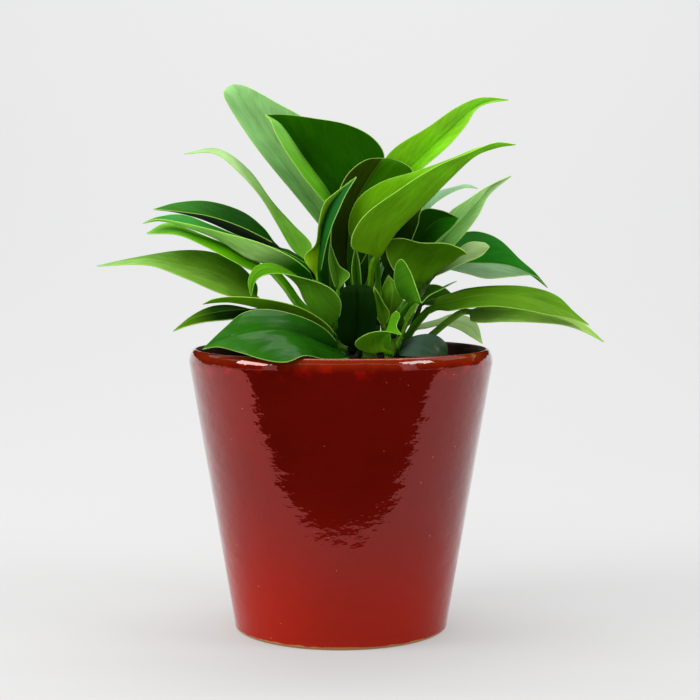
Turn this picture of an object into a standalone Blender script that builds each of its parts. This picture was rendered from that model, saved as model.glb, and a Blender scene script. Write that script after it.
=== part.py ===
"""A young philodendron in a glazed cover pot: pot, potting mix, three crown stems and their leaves.

Metres, +Z up. The origin is the middle of the pot's foot, and -Y is the front.
"""

import math

import bmesh
import bpy
from mathutils import Vector
from mathutils.geometry import interpolate_bezier

MM = 0.001
GAP = 0.3

# Pot, in millimetres: a straight tapered cover pot with a rounded rim and a small rounded foot.
POT_HEIGHT = 128.0
POT_RIM_RADIUS = 70.0
POT_FOOT_RADIUS = 48.5
POT_WALL = 5.0
POT_FLOOR = 7.0
POT_FOOT_ROUND = 2.0
POT_SIDES = 64
POT_SHARP_ANGLE = 40

# Potting mix: it fills the pot to a little under the rim, in low mounds.
MIX_LEVEL = 120.0
MIX_MOUND = 1.2
MIX_RINGS = 5
MIX_SIDES = POT_SIDES
HOLE_ABOVE_MIX = 5.0

# Crown stems: three young plants potted together, each on a short tapered stem.
CROWNS = {"left": (0.0, 1.0), "middle": (13.0, 9.0), "right": (23.0, -3.0)}
CROWN_FOOT = 96.0
CROWN_TOP = 146.0
CROWN_FOOT_RADIUS = 4.2
CROWN_TOP_RADIUS = 2.4
CROWN_RINGS = 5
CROWN_RING_RISE = 0.25
CROWN_RING_SHARE = 0.8
CROWN_TIP_SHARE = 0.7
CROWN_SIDES = 12

# Leaves: a round stalk that opens into a thin blade with a fold along its rib.
BLADE_THICKNESS = 0.7
EDGE_HALF_WIDTH = 0.45
BLADE_ARCH = 0.07
NECK_SHARE = 0.14
MOST_MITRE = 2.0
ACROSS = 5
STALK_FIRST_TURN = 162
STALK_TURN = 36
STALK_LEAN = 0.15
STALK_FIRST_RISE = 2.5
CURVE_STEPS = 12
STALK_STEP = 9.0
BLADE_STEP = 8.0
FEWEST_BLADE_STATIONS = 8
MOST_BLADE_STATIONS = 14
FEWEST_STALK_STATIONS = 3
LEAF_SHARP_ANGLE = 60

# Leaf points are (across, depth, up) in millimetres. Across and up are where the point lines up
# against the plane through the pot's axis when it is looked at from EYE, and depth is how far
# behind that plane it really lies, so that a leaf can be moved nearer or further on its sight line.
EYE = Vector((4.1, -750.0, 180.0))

LEAF_GREEN = (0.035, 0.16, 0.015)
YOUNG_GREEN = (0.12, 0.32, 0.02)
DARK_GREEN = (0.012, 0.055, 0.01)
PALE_GREEN = (0.17, 0.33, 0.14)

LEAVES = [
    dict(
        name="leaf_back_tall", green=PALE_GREEN, crown="middle", heading=115, height=131, radius=1.4,
        stalk=[(6, 22, 150)], base=(-1, 26, 174),
        left=[(-8, 28, 182), (-19, 33, 195.5), (-37, 40, 217.5), (-49.7, 47, 236.3), (-52.8, 50, 243.5)],
        rib=[(-6, 34, 184), (-20, 41, 204), (-36, 47, 226), (-48, 55, 246)],
        right=[(2, 30, 186), (-1, 36, 208), (-14, 42, 229.3), (-30, 47, 239.3), (-42.5, 52, 246)],
        tip=(-48.5, 62, 247),
    ),
    dict(
        name="leaf_top_broad", green=DARK_GREEN, crown="middle", heading=150, height=132, radius=1.4,
        stalk=[(4, 11, 160)], base=(0, 14, 186),
        left=[(-8, 8, 195), (-20, 8, 210), (-29, 13, 224.5), (-31.5, 18, 230.5)],
        rib=[(-4, 19, 196), (-17, 27, 214), (-27, 29, 229)],
        right=[(10, 18, 197), (19.5, 20, 213), (15, 24, 222.5), (3, 27, 229), (-13, 29, 232),
               (-25, 29, 233.5)],
        tip=(-34, 25, 233.5),
    ),
    dict(
        name="leaf_left_ribbon", green=PALE_GREEN, crown="left", heading=135, height=136, radius=1.3,
        stalk=[(-7, 7, 152)], base=(-16, 12, 166),
        left=[(-22.8, 17, 174), (-29, 15, 184.5), (-36, 12, 196), (-45.5, 12, 207), (-57, 14, 216)],
        rib=[(-19, 17, 173), (-26, 17, 186), (-38, 18, 202), (-54, 18, 216.6)],
        right=[(-12.5, 16, 173), (-22.5, 22, 184.7), (-31, 24, 194.2), (-42.3, 25, 209.3), (-56, 23, 218.2)],
        tip=(-71, 18, 216),
    ),
    dict(
        name="leaf_left_upper", green=DARK_GREEN, crown="left", heading=168, height=137, radius=1.3,
        stalk=[(-7, 2, 150), (-15, 0, 165)], base=(-24, 1, 171.5),
        left=[(-29, -1, 174.8), (-45, 1, 183), (-60, 3, 188), (-75, 5, 190.2)],
        rib=[(-33, 7, 174.8), (-47, 12, 179.8), (-62, 12, 186.3), (-75, 11, 189.8)],
        right=[(-30, 11, 175.8), (-35, 16, 182.4), (-45, 26, 190), (-60, 24, 194.5), (-74, 18, 194)],
        tip=(-85, 12, 191),
    ),
    dict(
        name="leaf_left_long", green=LEAF_GREEN, crown="left", heading=238, height=136, radius=1.3,
        stalk=[(-5, -5, 147)], base=(-10, -8, 157),
        left=[(-13, -17, 161.5), (-22, -22, 169), (-36, -20, 175.5), (-52, -18, 180), (-70, -15, 184.5),
              (-83, -12, 186.5)],
        rib=[(-17, -12, 160), (-30, -12, 165.5), (-42, -11, 169), (-55, -10, 177), (-68, -9, 182.3),
             (-82, -9, 185.8)],
        right=[(-12, -6, 163), (-24, -3, 171), (-44, -1, 178), (-60, -1, 184.3), (-72, -3, 188.5),
               (-83, -6, 187.5)],
        tip=(-90, -8, 184.7),
    ),
    dict(
        name="leaf_left_bright", green=YOUNG_GREEN, crown="left", heading=222, height=131, radius=2.1,
        stalk=[(-8, -8, 138.5), (-18.7, -9, 147.5), (-25, -9, 156.2)], base=(-31, -8, 163),
        left=[(-40, -15, 163.2), (-50, -18, 168), (-62, -17, 174.3), (-74, -14, 179.3)],
        rib=[(-42, -8, 168), (-52, -6, 174), (-65, -5, 179), (-77, -6, 182.5)],
        right=[(-38, -1, 167), (-48, 5, 173), (-60, 7, 178), (-72, 4, 183), (-80, -1, 184.5)],
        tip=(-88.3, -6, 180),
    ),
    dict(
        name="leaf_left_far", green=LEAF_GREEN, crown="left", heading=184, height=124, radius=1.5,
        stalk=[(-12, 0, 136.5), (-24, -4, 145)], base=(-36.5, -8, 148.6),
        left=[(-44, -15, 150), (-56, -18, 153.4), (-72, -16, 160.3), (-88, -11, 165.7)],
        rib=[(-44, -8, 154.5), (-58, -6, 162), (-74, -5, 166), (-90, -5, 168.5)],
        right=[(-36.3, -2, 152.5), (-41, 0, 160.5), (-48, 1, 166.8), (-58, 2, 171.3), (-72, 1, 172.3), (-90, -1, 169.7)],
        tip=(-111, -6, 165.3),
    ),
    dict(
        name="leaf_front_curled", green=YOUNG_GREEN, crown="left", heading=268, height=132, radius=1.4,
        stalk=[], base=(-3, -14, 137),
        left=[(-0.5, -22, 143), (-0.5, -28, 150), (-6, -31, 155.8), (-18, -31, 160), (-30, -29, 162),
              (-38, -27, 159.5)],
        rib=[(-9, -18, 141), (-16, -21, 149), (-20, -22, 157), (-27, -23, 162.5), (-35, -23, 164),
             (-40, -22.5, 160)],
        right=[(-8, -14, 143), (-12, -15, 153), (-20, -17, 161), (-30, -20, 166), (-38, -20, 165.3),
               (-42, -21, 159)],
        tip=(-41, -22, 151.5),
    ),
    dict(
        name="leaf_left_slim", green=DARK_GREEN, crown="left", heading=250, height=123, radius=1.3,
        stalk=[], base=(-3, -15, 129.5),
        left=[(-3, -22, 134.5), (-9, -27, 140.8), (-20, -33, 146.8), (-35, -36, 150.3), (-50, -35, 151.3),
              (-58, -32, 150.3)],
        rib=[(-6, -17, 131.5), (-13, -21, 136.5), (-24, -25, 141.5), (-38, -28, 146.5), (-50, -29, 148.9),
             (-58, -29, 148.7)],
        right=[(-8, -12, 132.5), (-15, -13, 137.5), (-26, -16, 143.5), (-40, -20, 148.5), (-50, -23, 150.5),
               (-58, -26, 149.8)],
        tip=(-63, -29, 148),
    ),
    dict(
        name="leaf_left_small", green=DARK_GREEN, crown="left", heading=218, height=123, radius=1.2,
        stalk=[(-14, -9, 133), (-30, -12, 142.5)], base=(-38, -15, 144.8),
        left=[(-43, -26, 142), (-52, -28, 140.8), (-62, -25, 139.8), (-70, -21, 138)],
        rib=[(-46, -19, 145.2), (-57, -18, 144), (-68, -17, 141)],
        right=[(-44, -13, 146.3), (-52, -10, 147.5), (-60, -10, 146.5), (-68, -13, 142.5)],
        tip=(-76.5, -18, 135.6),
    ),
    dict(
        name="leaf_front_rim", green=LEAF_GREEN, crown="left", heading=285, height=123, radius=1.5,
        stalk=[], base=(1, -16, 126),
        left=[(4, -28, 123.5), (-8, -50, 123), (-17, -64, 124.5), (-25, -70, 121.6), (-34, -68, 122.4),
              (-46, -60, 126), (-56, -50, 128.5)],
        rib=[(-6, -28, 129), (-18, -42, 134), (-32, -51, 136), (-46, -53, 134), (-56, -47, 131)],
        right=[(-2, -25, 131), (-8, -32, 137), (-18, -38, 142), (-32, -41, 145.3), (-44, -44, 144),
               (-53, -44, 137)],
        tip=(-63, -40, 127.5),
    ),
    dict(
        name="leaf_centre_spear", green=DARK_GREEN, crown="left", heading=203, height=141, radius=1.2,
        stalk=[(-4, -3, 150)], base=(-10, -3, 158),
        left=[(-14, -5, 164), (-16.5, -5, 169.5), (-11.5, -6, 175), (-10, -9, 184), (-7.5, -9, 193.5),
              (-2, -7, 198.7), (3, -6, 202.6)],
        rib=[(-10.5, -2, 164), (-9.5, -1, 173), (-8.5, -1, 183), (-5.5, -3, 192), (0, -5, 199)],
        right=[(-9, -8, 164.5), (-7, -12, 174), (-4, -14, 184), (-1, -12, 191), (2.3, -9, 198)],
        tip=(7, -7, 205.5),
    ),
    dict(
        name="leaf_centre_dark", green=DARK_GREEN, crown="middle", heading=205, height=138, radius=1.3,
        stalk=[], base=(3, 6, 158),
        left=[(-4, 5, 172), (-3, 6, 190), (2, 8, 205), (11, 11, 213)],
        rib=[(3, 8, 172), (5, 11, 190), (12, 14, 204), (18, 16, 212.5)],
        right=[(11, 2, 170), (17, 3, 186), (27, 6, 200), (32.5, 10, 207.5), (28, 14, 212)],
        tip=(21, 19, 214),
    ),
    dict(
        name="leaf_right_lance", green=YOUNG_GREEN, crown="middle", heading=275, height=128, radius=1.4,
        stalk=[(13.5, -4, 145), (13.5, -9, 157)], base=(14.5, -13, 167),
        left=[(10, -8, 171), (3.5, -4, 181), (7, -3, 194.5), (18, -3, 203), (33, -4, 207.8), (50, -8, 213.9),
              (64, -12, 219.3)],
        rib=[(19, -14, 172.5), (25.5, -16, 181.5), (36.5, -16, 192), (49.8, -16, 205.4), (61, -15, 215.3),
             (71, -14, 219)],
        right=[(9, -19, 169.5), (4.5, -25, 176), (10, -28, 187.5), (25, -28, 199), (42, -26, 209.7),
               (58, -22, 216.5), (70, -18, 221)],
        tip=(79, -14, 220.2),
    ),
    dict(
        name="leaf_right_top", green=YOUNG_GREEN, crown="middle", heading=42, height=132, radius=1.4,
        stalk=[(17, 18, 155)], base=(15, 25, 188),
        left=[(17, 24, 206), (23, 25, 217.2), (40, 26, 228.2), (52, 26, 236.5), (63, 25, 241)],
        rib=[(20, 29, 198), (33, 31, 211.5), (47, 31, 225), (60, 29, 236.5), (69, 27, 240.4)],
        right=[(23, 26, 196), (35, 26, 208), (48, 27, 219.3), (56, 27, 228.3), (62.5, 26, 237.3)],
        tip=(75.5, 27, 240.2),
    ),
    dict(
        name="leaf_back_right_small", green=PALE_GREEN, crown="middle", heading=78, height=133, radius=1.2,
        stalk=[(15, 19, 150), (18, 23, 163), (24, 30, 176)], base=(31, 42, 184),
        left=[(37, 52, 193), (44, 54, 198.8), (51, 53, 200.9), (57, 50, 202.2)],
        rib=[(39.5, 44, 192), (47, 46, 198), (55.5, 47, 201.5)],
        right=[(37.5, 38, 188.5), (42, 38, 193.3), (49, 40, 198), (56, 43, 200.7)],
        tip=(62, 48, 200.5),
    ),
    dict(
        name="leaf_right_striped", green=PALE_GREEN, crown="right", heading=82, height=132, radius=1.3,
        stalk=[(31, 9, 150)], base=(40, 17, 168),
        left=[(42, 14, 177), (49, 14, 189), (58, 18, 195.5), (66, 22, 200.8)],
        rib=[(46, 20, 177), (55, 23, 186.5), (63, 25, 195.5), (68.7, 26, 202)],
        right=[(48, 16, 172), (56, 17, 180), (62.4, 20, 188.8), (67, 23, 197.5)],
        tip=(77, 27, 206),
    ),
    dict(
        name="leaf_right_shaded", green=DARK_GREEN, crown="right", heading=100, height=138, radius=1.2,
        stalk=[(26, 4, 155)], base=(31, 5, 168),
        left=[(32, 3, 176), (35, 3, 184), (37, 4, 190.5), (45, 6, 190.5)],
        rib=[(35, 7, 176), (41, 8, 184), (48, 8, 187.5)],
        right=[(38, 3, 172), (46, 4, 179), (51, 6, 183.5)],
        tip=(53.5, 7, 187),
    ),
    dict(
        name="leaf_centre_shaded", green=DARK_GREEN, crown="middle", heading=0, height=138, radius=1.2,
        stalk=[], base=(21, 10, 160),
        left=[(18, 9, 172), (20, 10, 185), (27, 11, 195)],
        rib=[(24, 13, 175), (27, 15, 186), (31, 15, 195)],
        right=[(29, 8, 170), (34, 9, 182), (36, 11, 191)],
        tip=(34, 14, 199),
    ),
    dict(
        name="leaf_right_blue", green=LEAF_GREEN, crown="right", heading=44, height=131, radius=1.4,
        stalk=[(34, 5, 150)], base=(42.5, 12, 164),
        left=[(46, 22, 172), (54, 32, 179.5), (62, 36, 180.8), (71.5, 34, 177.4), (81.3, 28, 168.2),
              (88, 22, 162.5)],
        rib=[(52, 14, 166), (64, 20, 166.5), (76, 22, 165.5), (86, 20, 161.5)],
        right=[(48, 6, 164), (57, 4, 162), (66, 6, 159.8), (78, 12, 160.6), (88, 17, 160.8)],
        tip=(94, 20, 155.5),
    ),
    dict(
        name="leaf_right_fold", green=DARK_GREEN, crown="right", heading=332, height=137, radius=1.3,
        stalk=[(30, -4, 146)], base=(35, -8, 155),
        left=[(36, -5, 166), (40, -3, 172), (48, -6, 175), (54, -13, 173.5)],
        rib=[(39, -10, 158.5), (45, -12, 163.5), (51, -14, 167.5), (54.3, -16, 170)],
        right=[(28, -14, 159), (22, -12, 167), (21, -10, 175.5), (27, -13, 177.8), (36, -17, 175.8),
               (48, -20, 175.5), (54, -19, 173.3)],
        tip=(57.3, -17, 171),
    ),
    dict(
        name="leaf_right_pale", green=PALE_GREEN, crown="right", heading=0, height=133, radius=1.3,
        stalk=[(33, -1, 146)], base=(38, -4, 156),
        left=[(43, -2, 165), (52, -2, 171.5), (58, -3, 175.8), (65, -5, 175.7)],
        rib=[(45, -6, 163), (54, -7, 168.5), (62, -7, 173)],
        right=[(41, -9, 159.8), (47, -11, 162.5), (56, -11, 166.7), (64, -10, 170.2)],
        tip=(67.5, -8, 174),
    ),
    dict(
        name="leaf_front_fold", green=LEAF_GREEN, crown="right", heading=280, height=133, radius=1.3,
        stalk=[(26, -11, 140)], base=(31, -15, 148),
        left=[(39, -10, 151.5), (47, -9, 155.6), (52.5, -11, 158.6), (46, -19, 155), (40, -26, 152)],
        rib=[(33.5, -18, 149), (35.5, -24, 148.5)],
        right=[(26, -17, 153), (24.3, -19, 161), (27, -22, 168.3), (31, -25, 164), (34, -29, 156.5)],
        tip=(36.7, -31, 148.5),
    ),
    dict(
        name="leaf_right_tucked", green=DARK_GREEN, crown="right", heading=12, height=126, radius=1.1,
        stalk=[(33, 0, 139)], base=(36.5, 1.5, 148),
        left=[(38, 4, 155.5), (42, 5.5, 156.8), (47, 6, 155.3), (51, 6, 152)],
        rib=[(41, 3, 150), (47, 4.5, 150.5)],
        right=[(41, 1, 147.5), (48, 3.5, 148)],
        tip=(54, 7.5, 149.5),
    ),
    dict(
        name="leaf_front_young", green=YOUNG_GREEN, crown="right", heading=245, height=133, radius=1.2,
        stalk=[], base=(22, -10, 142),
        left=[(19, -7, 147), (19, -6, 155)],
        rib=[(23, -12, 148), (23.5, -12, 155)],
        right=[(27, -12, 147.5), (28.3, -12, 151.5), (25, -11, 157)],
        tip=(21.5, -6, 161),
    ),
    dict(
        name="leaf_right_long", green=LEAF_GREEN, crown="right", heading=332, height=124, radius=1.7,
        stalk=[(31.5, -11, 135)], base=(39.5, -13, 145),
        left=[(43, -4, 150), (50, 2, 152.8), (58, 6, 155.1), (72, 8, 156.3), (86, 4, 155.6), (98, -2, 151.8),
              (106, -7, 144.5)],
        rib=[(50, -8, 149), (62, -6, 151.5), (76, -6, 152), (90, -8, 149.5), (102, -10, 144.5)],
        right=[(46.5, -15, 144.6), (58, -18, 146.3), (70, -20, 147), (82, -20, 145.6), (94, -18, 143.2),
               (106, -14, 141)],
        tip=(113, -11, 138.5),
    ),
    dict(
        name="leaf_right_under", green=LEAF_GREEN, crown="right", heading=5, height=123, radius=1.5,
        stalk=[(34, 2, 128), (43, 1, 135.3), (49, 0, 140.3)], base=(55.5, 0, 144.6),
        left=[(64, 6, 147), (78, 8, 149.5), (92, 6, 148), (104, 1, 143.5), (112, -3, 138)],
        rib=[(66, -2, 144.5), (80, -2, 145), (95, -3, 143), (108, -5, 138.5)],
        right=[(60.5, -10, 140), (75, -14, 140), (90, -14, 139.6), (102, -12, 138.3), (111, -9, 135.3)],
        tip=(119.8, -6, 130.8),
    ),
    dict(
        name="leaf_right_back_low", green=PALE_GREEN, crown="right", heading=38, height=124, radius=1.3,
        stalk=[(28, 12, 131.5)], base=(32.5, 18, 136.2),
        left=[(37, 34, 139), (44, 38, 141), (52, 41, 143.4), (61, 38, 140)],
        rib=[(41, 29, 138.6), (50, 32, 140), (59, 33, 136.5)],
        right=[(38, 24, 136.8), (46, 24, 138.4), (53, 25, 136.8), (60, 28, 132.8)],
        tip=(64.5, 31, 130),
    ),
    dict(
        name="leaf_front_right_low", green=DARK_GREEN, crown="right", heading=295, height=123, radius=1.2,
        stalk=[], base=(26, -16, 125),
        left=[(29, -20, 131), (36, -26, 133.8), (43, -30, 133.6), (48, -34, 129.5)],
        rib=[(31, -26, 130), (38, -32, 131), (44, -36, 128.5)],
        right=[(28, -30, 124.5), (34, -38, 124), (42, -42, 123.8)],
        tip=(48.5, -38, 124.5),
    ),
    dict(
        name="leaf_front_hood", green=DARK_GREEN, crown="left", heading=345, height=125, radius=1.3,
        stalk=[], base=(6, -11, 127),
        left=[(0, -17, 131), (-1.2, -19, 139), (-0.9, -20, 149), (1.3, -18, 155.2)],
        rib=[(6.5, -14, 132), (7, -15, 140), (7.5, -15, 149), (7.5, -13, 155.8)],
        right=[(13.5, -17, 132), (16, -19, 139.5), (15.5, -20, 149), (13.3, -18, 155.6)],
        tip=(7, -6, 156.5),
    ),
    dict(
        name="leaf_front_narrow", green=LEAF_GREEN, crown="right", heading=218, height=126, radius=1.1,
        stalk=[], base=(19.5, -14, 137),
        left=[(16.5, -16, 142), (15, -17, 147), (14.8, -17, 152)],
        rib=[(19, -14, 143), (17.5, -14, 149)],
        right=[(22, -16, 143.5), (19.5, -17, 148), (17, -17, 152.5)],
        tip=(15, -16, 155.7),
    ),
    dict(
        name="leaf_front_bright", green=YOUNG_GREEN, crown="right", heading=262, height=123, radius=1.2,
        stalk=[], base=(20.5, -16, 126),
        left=[(13, -22, 126), (6.5, -28, 129.5), (11, -32, 134), (19, -33, 135.7)],
        rib=[(19, -21, 131), (20, -25, 134), (24, -28, 135)],
        right=[(22.5, -17, 131), (21.5, -19.5, 139), (24.5, -21.5, 144.5), (26.8, -23, 143),
               (25.2, -27, 138)],
        tip=(27.5, -30, 134),
    ),
    dict(
        name="leaf_centre_new", green=YOUNG_GREEN, crown="left", heading=290, height=139, radius=1.0,
        stalk=[], base=(-1.5, -5, 153),
        left=[(-4, -6, 160), (-5.5, -5, 168)],
        rib=[(-1.5, -3, 160), (-3.5, -3, 168)],
        right=[(1, -8, 157.5), (3.8, -8, 161.3), (-1, -6, 165.5)],
        tip=(-5, -4, 175.3),
    ),
    dict(
        name="leaf_centre_sheath", green=DARK_GREEN, crown="middle", heading=240, height=136, radius=1.1,
        stalk=[], base=(8, 0, 148),
        left=[(5.8, -3, 156), (5, -3, 164)],
        rib=[(7.3, 0, 157), (6.8, 0, 166)],
        right=[(9, -3, 156), (8.3, -3, 166)],
        tip=(6.5, -1, 174),
    ),
    dict(
        name="leaf_right_spear", green=YOUNG_GREEN, crown="right", heading=305, height=128, radius=0.9,
        stalk=[(27.3, -7.5, 133)], base=(29.5, -7.5, 139),
        left=[(32, -8.5, 143), (34.3, -9, 147)],
        rib=[(30.7, -7.5, 143.5), (32.8, -7.5, 147.5)],
        right=[(28.9, -8.5, 143), (31, -9, 147)],
        tip=(34.8, -8, 150.3),
    ),
    dict(
        name="leaf_rear_left", green=LEAF_GREEN, crown="left", heading=118, height=125, radius=1.5,
        stalk=[(-10, 19, 150)], base=(-14, 28, 160),
        left=[(-20, 32, 163), (-29, 46, 166.5), (-37, 60, 168)],
        rib=[(-17, 38, 163.5), (-25, 54, 168), (-33, 68, 169)],
        right=[(-12, 42, 164), (-17, 58, 169), (-26, 72, 170)],
        tip=(-39, 82, 167),
    ),
    dict(
        name="leaf_rear_middle", green=LEAF_GREEN, crown="middle", heading=100, height=124, radius=1.5,
        stalk=[(12.5, 30, 144)], base=(12, 50, 158),
        left=[(1, 60, 168), (-3, 70, 174), (0, 82, 174)],
        rib=[(10.5, 60, 166.5), (8, 72, 173), (7, 86, 172.5)],
        right=[(20, 58, 168), (20, 70, 174), (15, 84, 174)],
        tip=(6, 102, 166),
    ),
    dict(
        name="leaf_rear_low", green=DARK_GREEN, crown="middle", heading=134, height=122, radius=1.5,
        stalk=[(4, 24, 134)], base=(-1, 36, 141),
        left=[(-10, 42, 141), (-16, 54, 142), (-17, 66, 141)],
        rib=[(-4, 46, 144), (-8, 60, 146), (-12, 74, 144)],
        right=[(4, 50, 144), (2, 64, 147), (-4, 76, 146)],
        tip=(-15, 92, 138),
    ),
    dict(
        name="leaf_rear_right", green=LEAF_GREEN, crown="right", heading=112, height=128, radius=1.5,
        stalk=[(19.5, 19, 140)], base=(22, 25, 150),
        left=[(14.5, 28, 157), (14, 30, 164)],
        rib=[(22, 30.5, 158), (22, 33, 166)],
        right=[(29.5, 30, 157), (30.5, 33, 164)],
        tip=(23, 36, 172.5),
    ),
    dict(
        name="leaf_rear_rim_left", green=DARK_GREEN, crown="left", heading=150, height=123, radius=1.4,
        stalk=[(-11, 11, 130)], base=(-16, 22, 135),
        left=[(-24, 24, 134), (-33, 36, 135), (-40, 50, 134)],
        rib=[(-20, 32, 138), (-28, 46, 139.5), (-36, 60, 138)],
        right=[(-14, 38, 137), (-19, 54, 139), (-28, 66, 139)],
        tip=(-42, 72, 133),
    ),
    dict(
        name="leaf_rear_rim_right", green=LEAF_GREEN, crown="right", heading=72, height=123, radius=1.4,
        stalk=[(22, 16, 129)], base=(24, 26, 135),
        left=[(20, 36, 141), (17, 48, 146), (18, 62, 148)],
        rib=[(27, 38, 142), (27, 52, 148), (26, 66, 150)],
        right=[(33, 36, 140), (33, 50, 146), (32, 64, 148)],
        tip=(27, 82, 146),
    ),
    dict(
        name="leaf_rear_upright_left", green=DARK_GREEN, crown="left", heading=95, height=132, radius=1.2,
        stalk=[], base=(-5, 12.5, 146),
        left=[(-11, 15, 156), (-12, 17, 168), (-9, 19, 178)],
        rib=[(-5, 16, 157), (-5.5, 19, 169), (-5, 21, 178)],
        right=[(1, 14.5, 154), (0, 17, 167), (-1, 20, 177)],
        tip=(-4, 22, 185),
    ),
    dict(
        name="leaf_rear_upright_middle", green=DARK_GREEN, crown="left", heading=62, height=128, radius=1.2,
        stalk=[(2.2, 15.5, 140)], base=(3.5, 27, 152),
        left=[(2, 31, 157), (0, 34, 168), (2, 37, 178)],
        rib=[(6.5, 32.5, 158), (6.5, 35.5, 169), (7, 38, 178)],
        right=[(11, 32, 157), (12.5, 35.5, 167), (12, 38, 177)],
        tip=(8, 41, 187),
    ),
]


def clear_scene():
    for obj in list(bpy.data.objects):
        bpy.data.objects.remove(obj, do_unlink=True)


def material(name, colour, roughness):
    """A non-metal finish of one colour."""
    mat = bpy.data.materials.new(name)
    mat.use_nodes = True
    shader = mat.node_tree.nodes["Principled BSDF"]
    shader.inputs["Base Color"].default_value = (*colour, 1.0)
    shader.inputs["Roughness"].default_value = roughness
    shader.inputs["Metallic"].default_value = 0.0
    mat.diffuse_color = (*colour, 1.0)
    return mat


def add_object(name, mesh, mat, parent):
    mesh.materials.append(mat)
    obj = bpy.data.objects.new(name, mesh)
    bpy.context.scene.collection.objects.link(obj)
    obj.parent = parent
    return obj


def turned(name, profile, sides, centre=(0.0, 0.0)):
    """A mesh turned about the vertical through centre, from (radius, height) points in millimetres."""
    bm = bmesh.new()
    verts = [bm.verts.new((radius * MM, 0.0, height * MM)) for radius, height in profile]
    edges = [bm.edges.new(pair) for pair in zip(verts, verts[1:])]
    bmesh.ops.spin(bm, geom=verts + edges, cent=(0, 0, 0), axis=(0, 0, 1), angle=math.tau, steps=sides)
    bmesh.ops.remove_doubles(bm, verts=bm.verts, dist=0.01 * MM)
    bmesh.ops.translate(bm, vec=(centre[0] * MM, centre[1] * MM, 0.0), verts=bm.verts)
    bmesh.ops.recalc_face_normals(bm, faces=bm.faces)
    mesh = bpy.data.meshes.new(name)
    bm.to_mesh(mesh)
    bm.free()
    mesh.shade_smooth()
    mesh.set_sharp_from_angle(angle=math.radians(POT_SHARP_ANGLE))
    return mesh


def arc(centre, radius, start, end, count):
    """Points on an arc in a profile, with angles in degrees from the outward direction."""
    angles = [math.radians(start + (end - start) * k / (count - 1)) for k in range(count)]
    return [(centre[0] + radius * math.cos(a), centre[1] + radius * math.sin(a)) for a in angles]


def outer_radius(height):
    """The pot's outer radius at a height."""
    return POT_FOOT_RADIUS + (POT_RIM_RADIUS - POT_FOOT_RADIUS) * height / POT_HEIGHT


def inner_radius(height):
    return outer_radius(height) - POT_WALL


def make_pot(parent):
    rim = POT_WALL / 2
    rim_centre = (outer_radius(POT_HEIGHT - rim) - rim, POT_HEIGHT - rim)
    foot_centre = (outer_radius(POT_FOOT_ROUND) - POT_FOOT_ROUND, POT_FOOT_ROUND)
    profile = [(0.0, 0.0)]
    profile += arc(foot_centre, POT_FOOT_ROUND, -90, 0, 4)
    profile += [(outer_radius(h), h) for h in (POT_HEIGHT / 3, 2 * POT_HEIGHT / 3)]
    profile += arc(rim_centre, rim, 0, 180, 7)
    profile += [(inner_radius(h), h) for h in (POT_HEIGHT / 2, POT_FLOOR + POT_FOOT_ROUND)]
    profile += [(inner_radius(POT_FLOOR) - POT_FOOT_ROUND, POT_FLOOR), (0.0, POT_FLOOR)]
    mesh = turned("pot", profile, POT_SIDES)
    add_object("pot", mesh, material("red glaze", (0.16, 0.006, 0.002), 0.12), parent)


def mix_height(x, y):
    """The top of the potting mix, in millimetres: low mounds that fade out at the wall."""
    waves = math.sin(0.11 * x + 1.3) * math.cos(0.13 * y - 0.4) + 0.5 * math.sin(0.23 * x - 0.19 * y)
    fade = 1.0 - (math.hypot(x, y) / inner_radius(MIX_LEVEL)) ** 4
    return MIX_LEVEL + MIX_MOUND * waves * fade


def make_mix(parent):
    """The potting mix, with a plain round hole for each crown stem."""
    bm = bmesh.new()
    wall = inner_radius(MIX_LEVEL) - GAP
    turns = [math.tau * k / MIX_SIDES for k in range(MIX_SIDES)]
    rings = []
    for ring in range(1, MIX_RINGS + 1):
        radius = wall * ring / MIX_RINGS
        spots = [(radius * math.cos(a), radius * math.sin(a)) for a in turns]
        rings.append([bm.verts.new(Vector((x, y, mix_height(x, y))) * MM) for x, y in spots])
    radius = inner_radius(POT_FLOOR) - 2 * POT_FOOT_ROUND
    foot = POT_FLOOR + GAP
    spots = [(radius * math.cos(a), radius * math.sin(a)) for a in turns]
    rings.append([bm.verts.new(Vector((x, y, foot)) * MM) for x, y in spots])
    for inner, outer in zip(rings, rings[1:]):
        for k in range(MIX_SIDES):
            n = (k + 1) % MIX_SIDES
            bm.faces.new((inner[k], outer[k], outer[n], inner[n]))
    middle = bm.verts.new((0.0, 0.0, mix_height(0.0, 0.0) * MM))
    for k in range(MIX_SIDES):
        bm.faces.new((middle, rings[0][k], rings[0][(k + 1) % MIX_SIDES]))
    bm.faces.new(list(reversed(rings[-1])))
    bmesh.ops.recalc_face_normals(bm, faces=bm.faces)
    mesh = bpy.data.meshes.new("potting_mix")
    bm.to_mesh(mesh)
    bm.free()
    mix = add_object("potting_mix", mesh, material("potting mix", (0.02, 0.012, 0.008), 0.9), parent)
    low, high = CROWN_FOOT - GAP, MIX_LEVEL + HOLE_ABOVE_MIX
    radius = CROWN_FOOT_RADIUS + GAP + CROWN_RING_RISE
    for crown, centre in CROWNS.items():
        profile = [(0.0, low), (radius, low), (radius, high), (0.0, high)]
        hole = turned(f"hole_{crown}", profile, CROWN_SIDES, centre)
        cutter = bpy.data.objects.new(f"hole_{crown}", hole)
        bpy.context.scene.collection.objects.link(cutter)
        cutter.parent = parent
        cutter.hide_render = True
        cutter.display_type = "WIRE"
        cut = mix.modifiers.new(f"hole {crown}", "BOOLEAN")
        cut.operation = "DIFFERENCE"
        cut.object = cutter


def crown_radius(height):
    share = (height - CROWN_FOOT) / (CROWN_TOP - CROWN_FOOT)
    return CROWN_FOOT_RADIUS + (CROWN_TOP_RADIUS - CROWN_FOOT_RADIUS) * share


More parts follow.
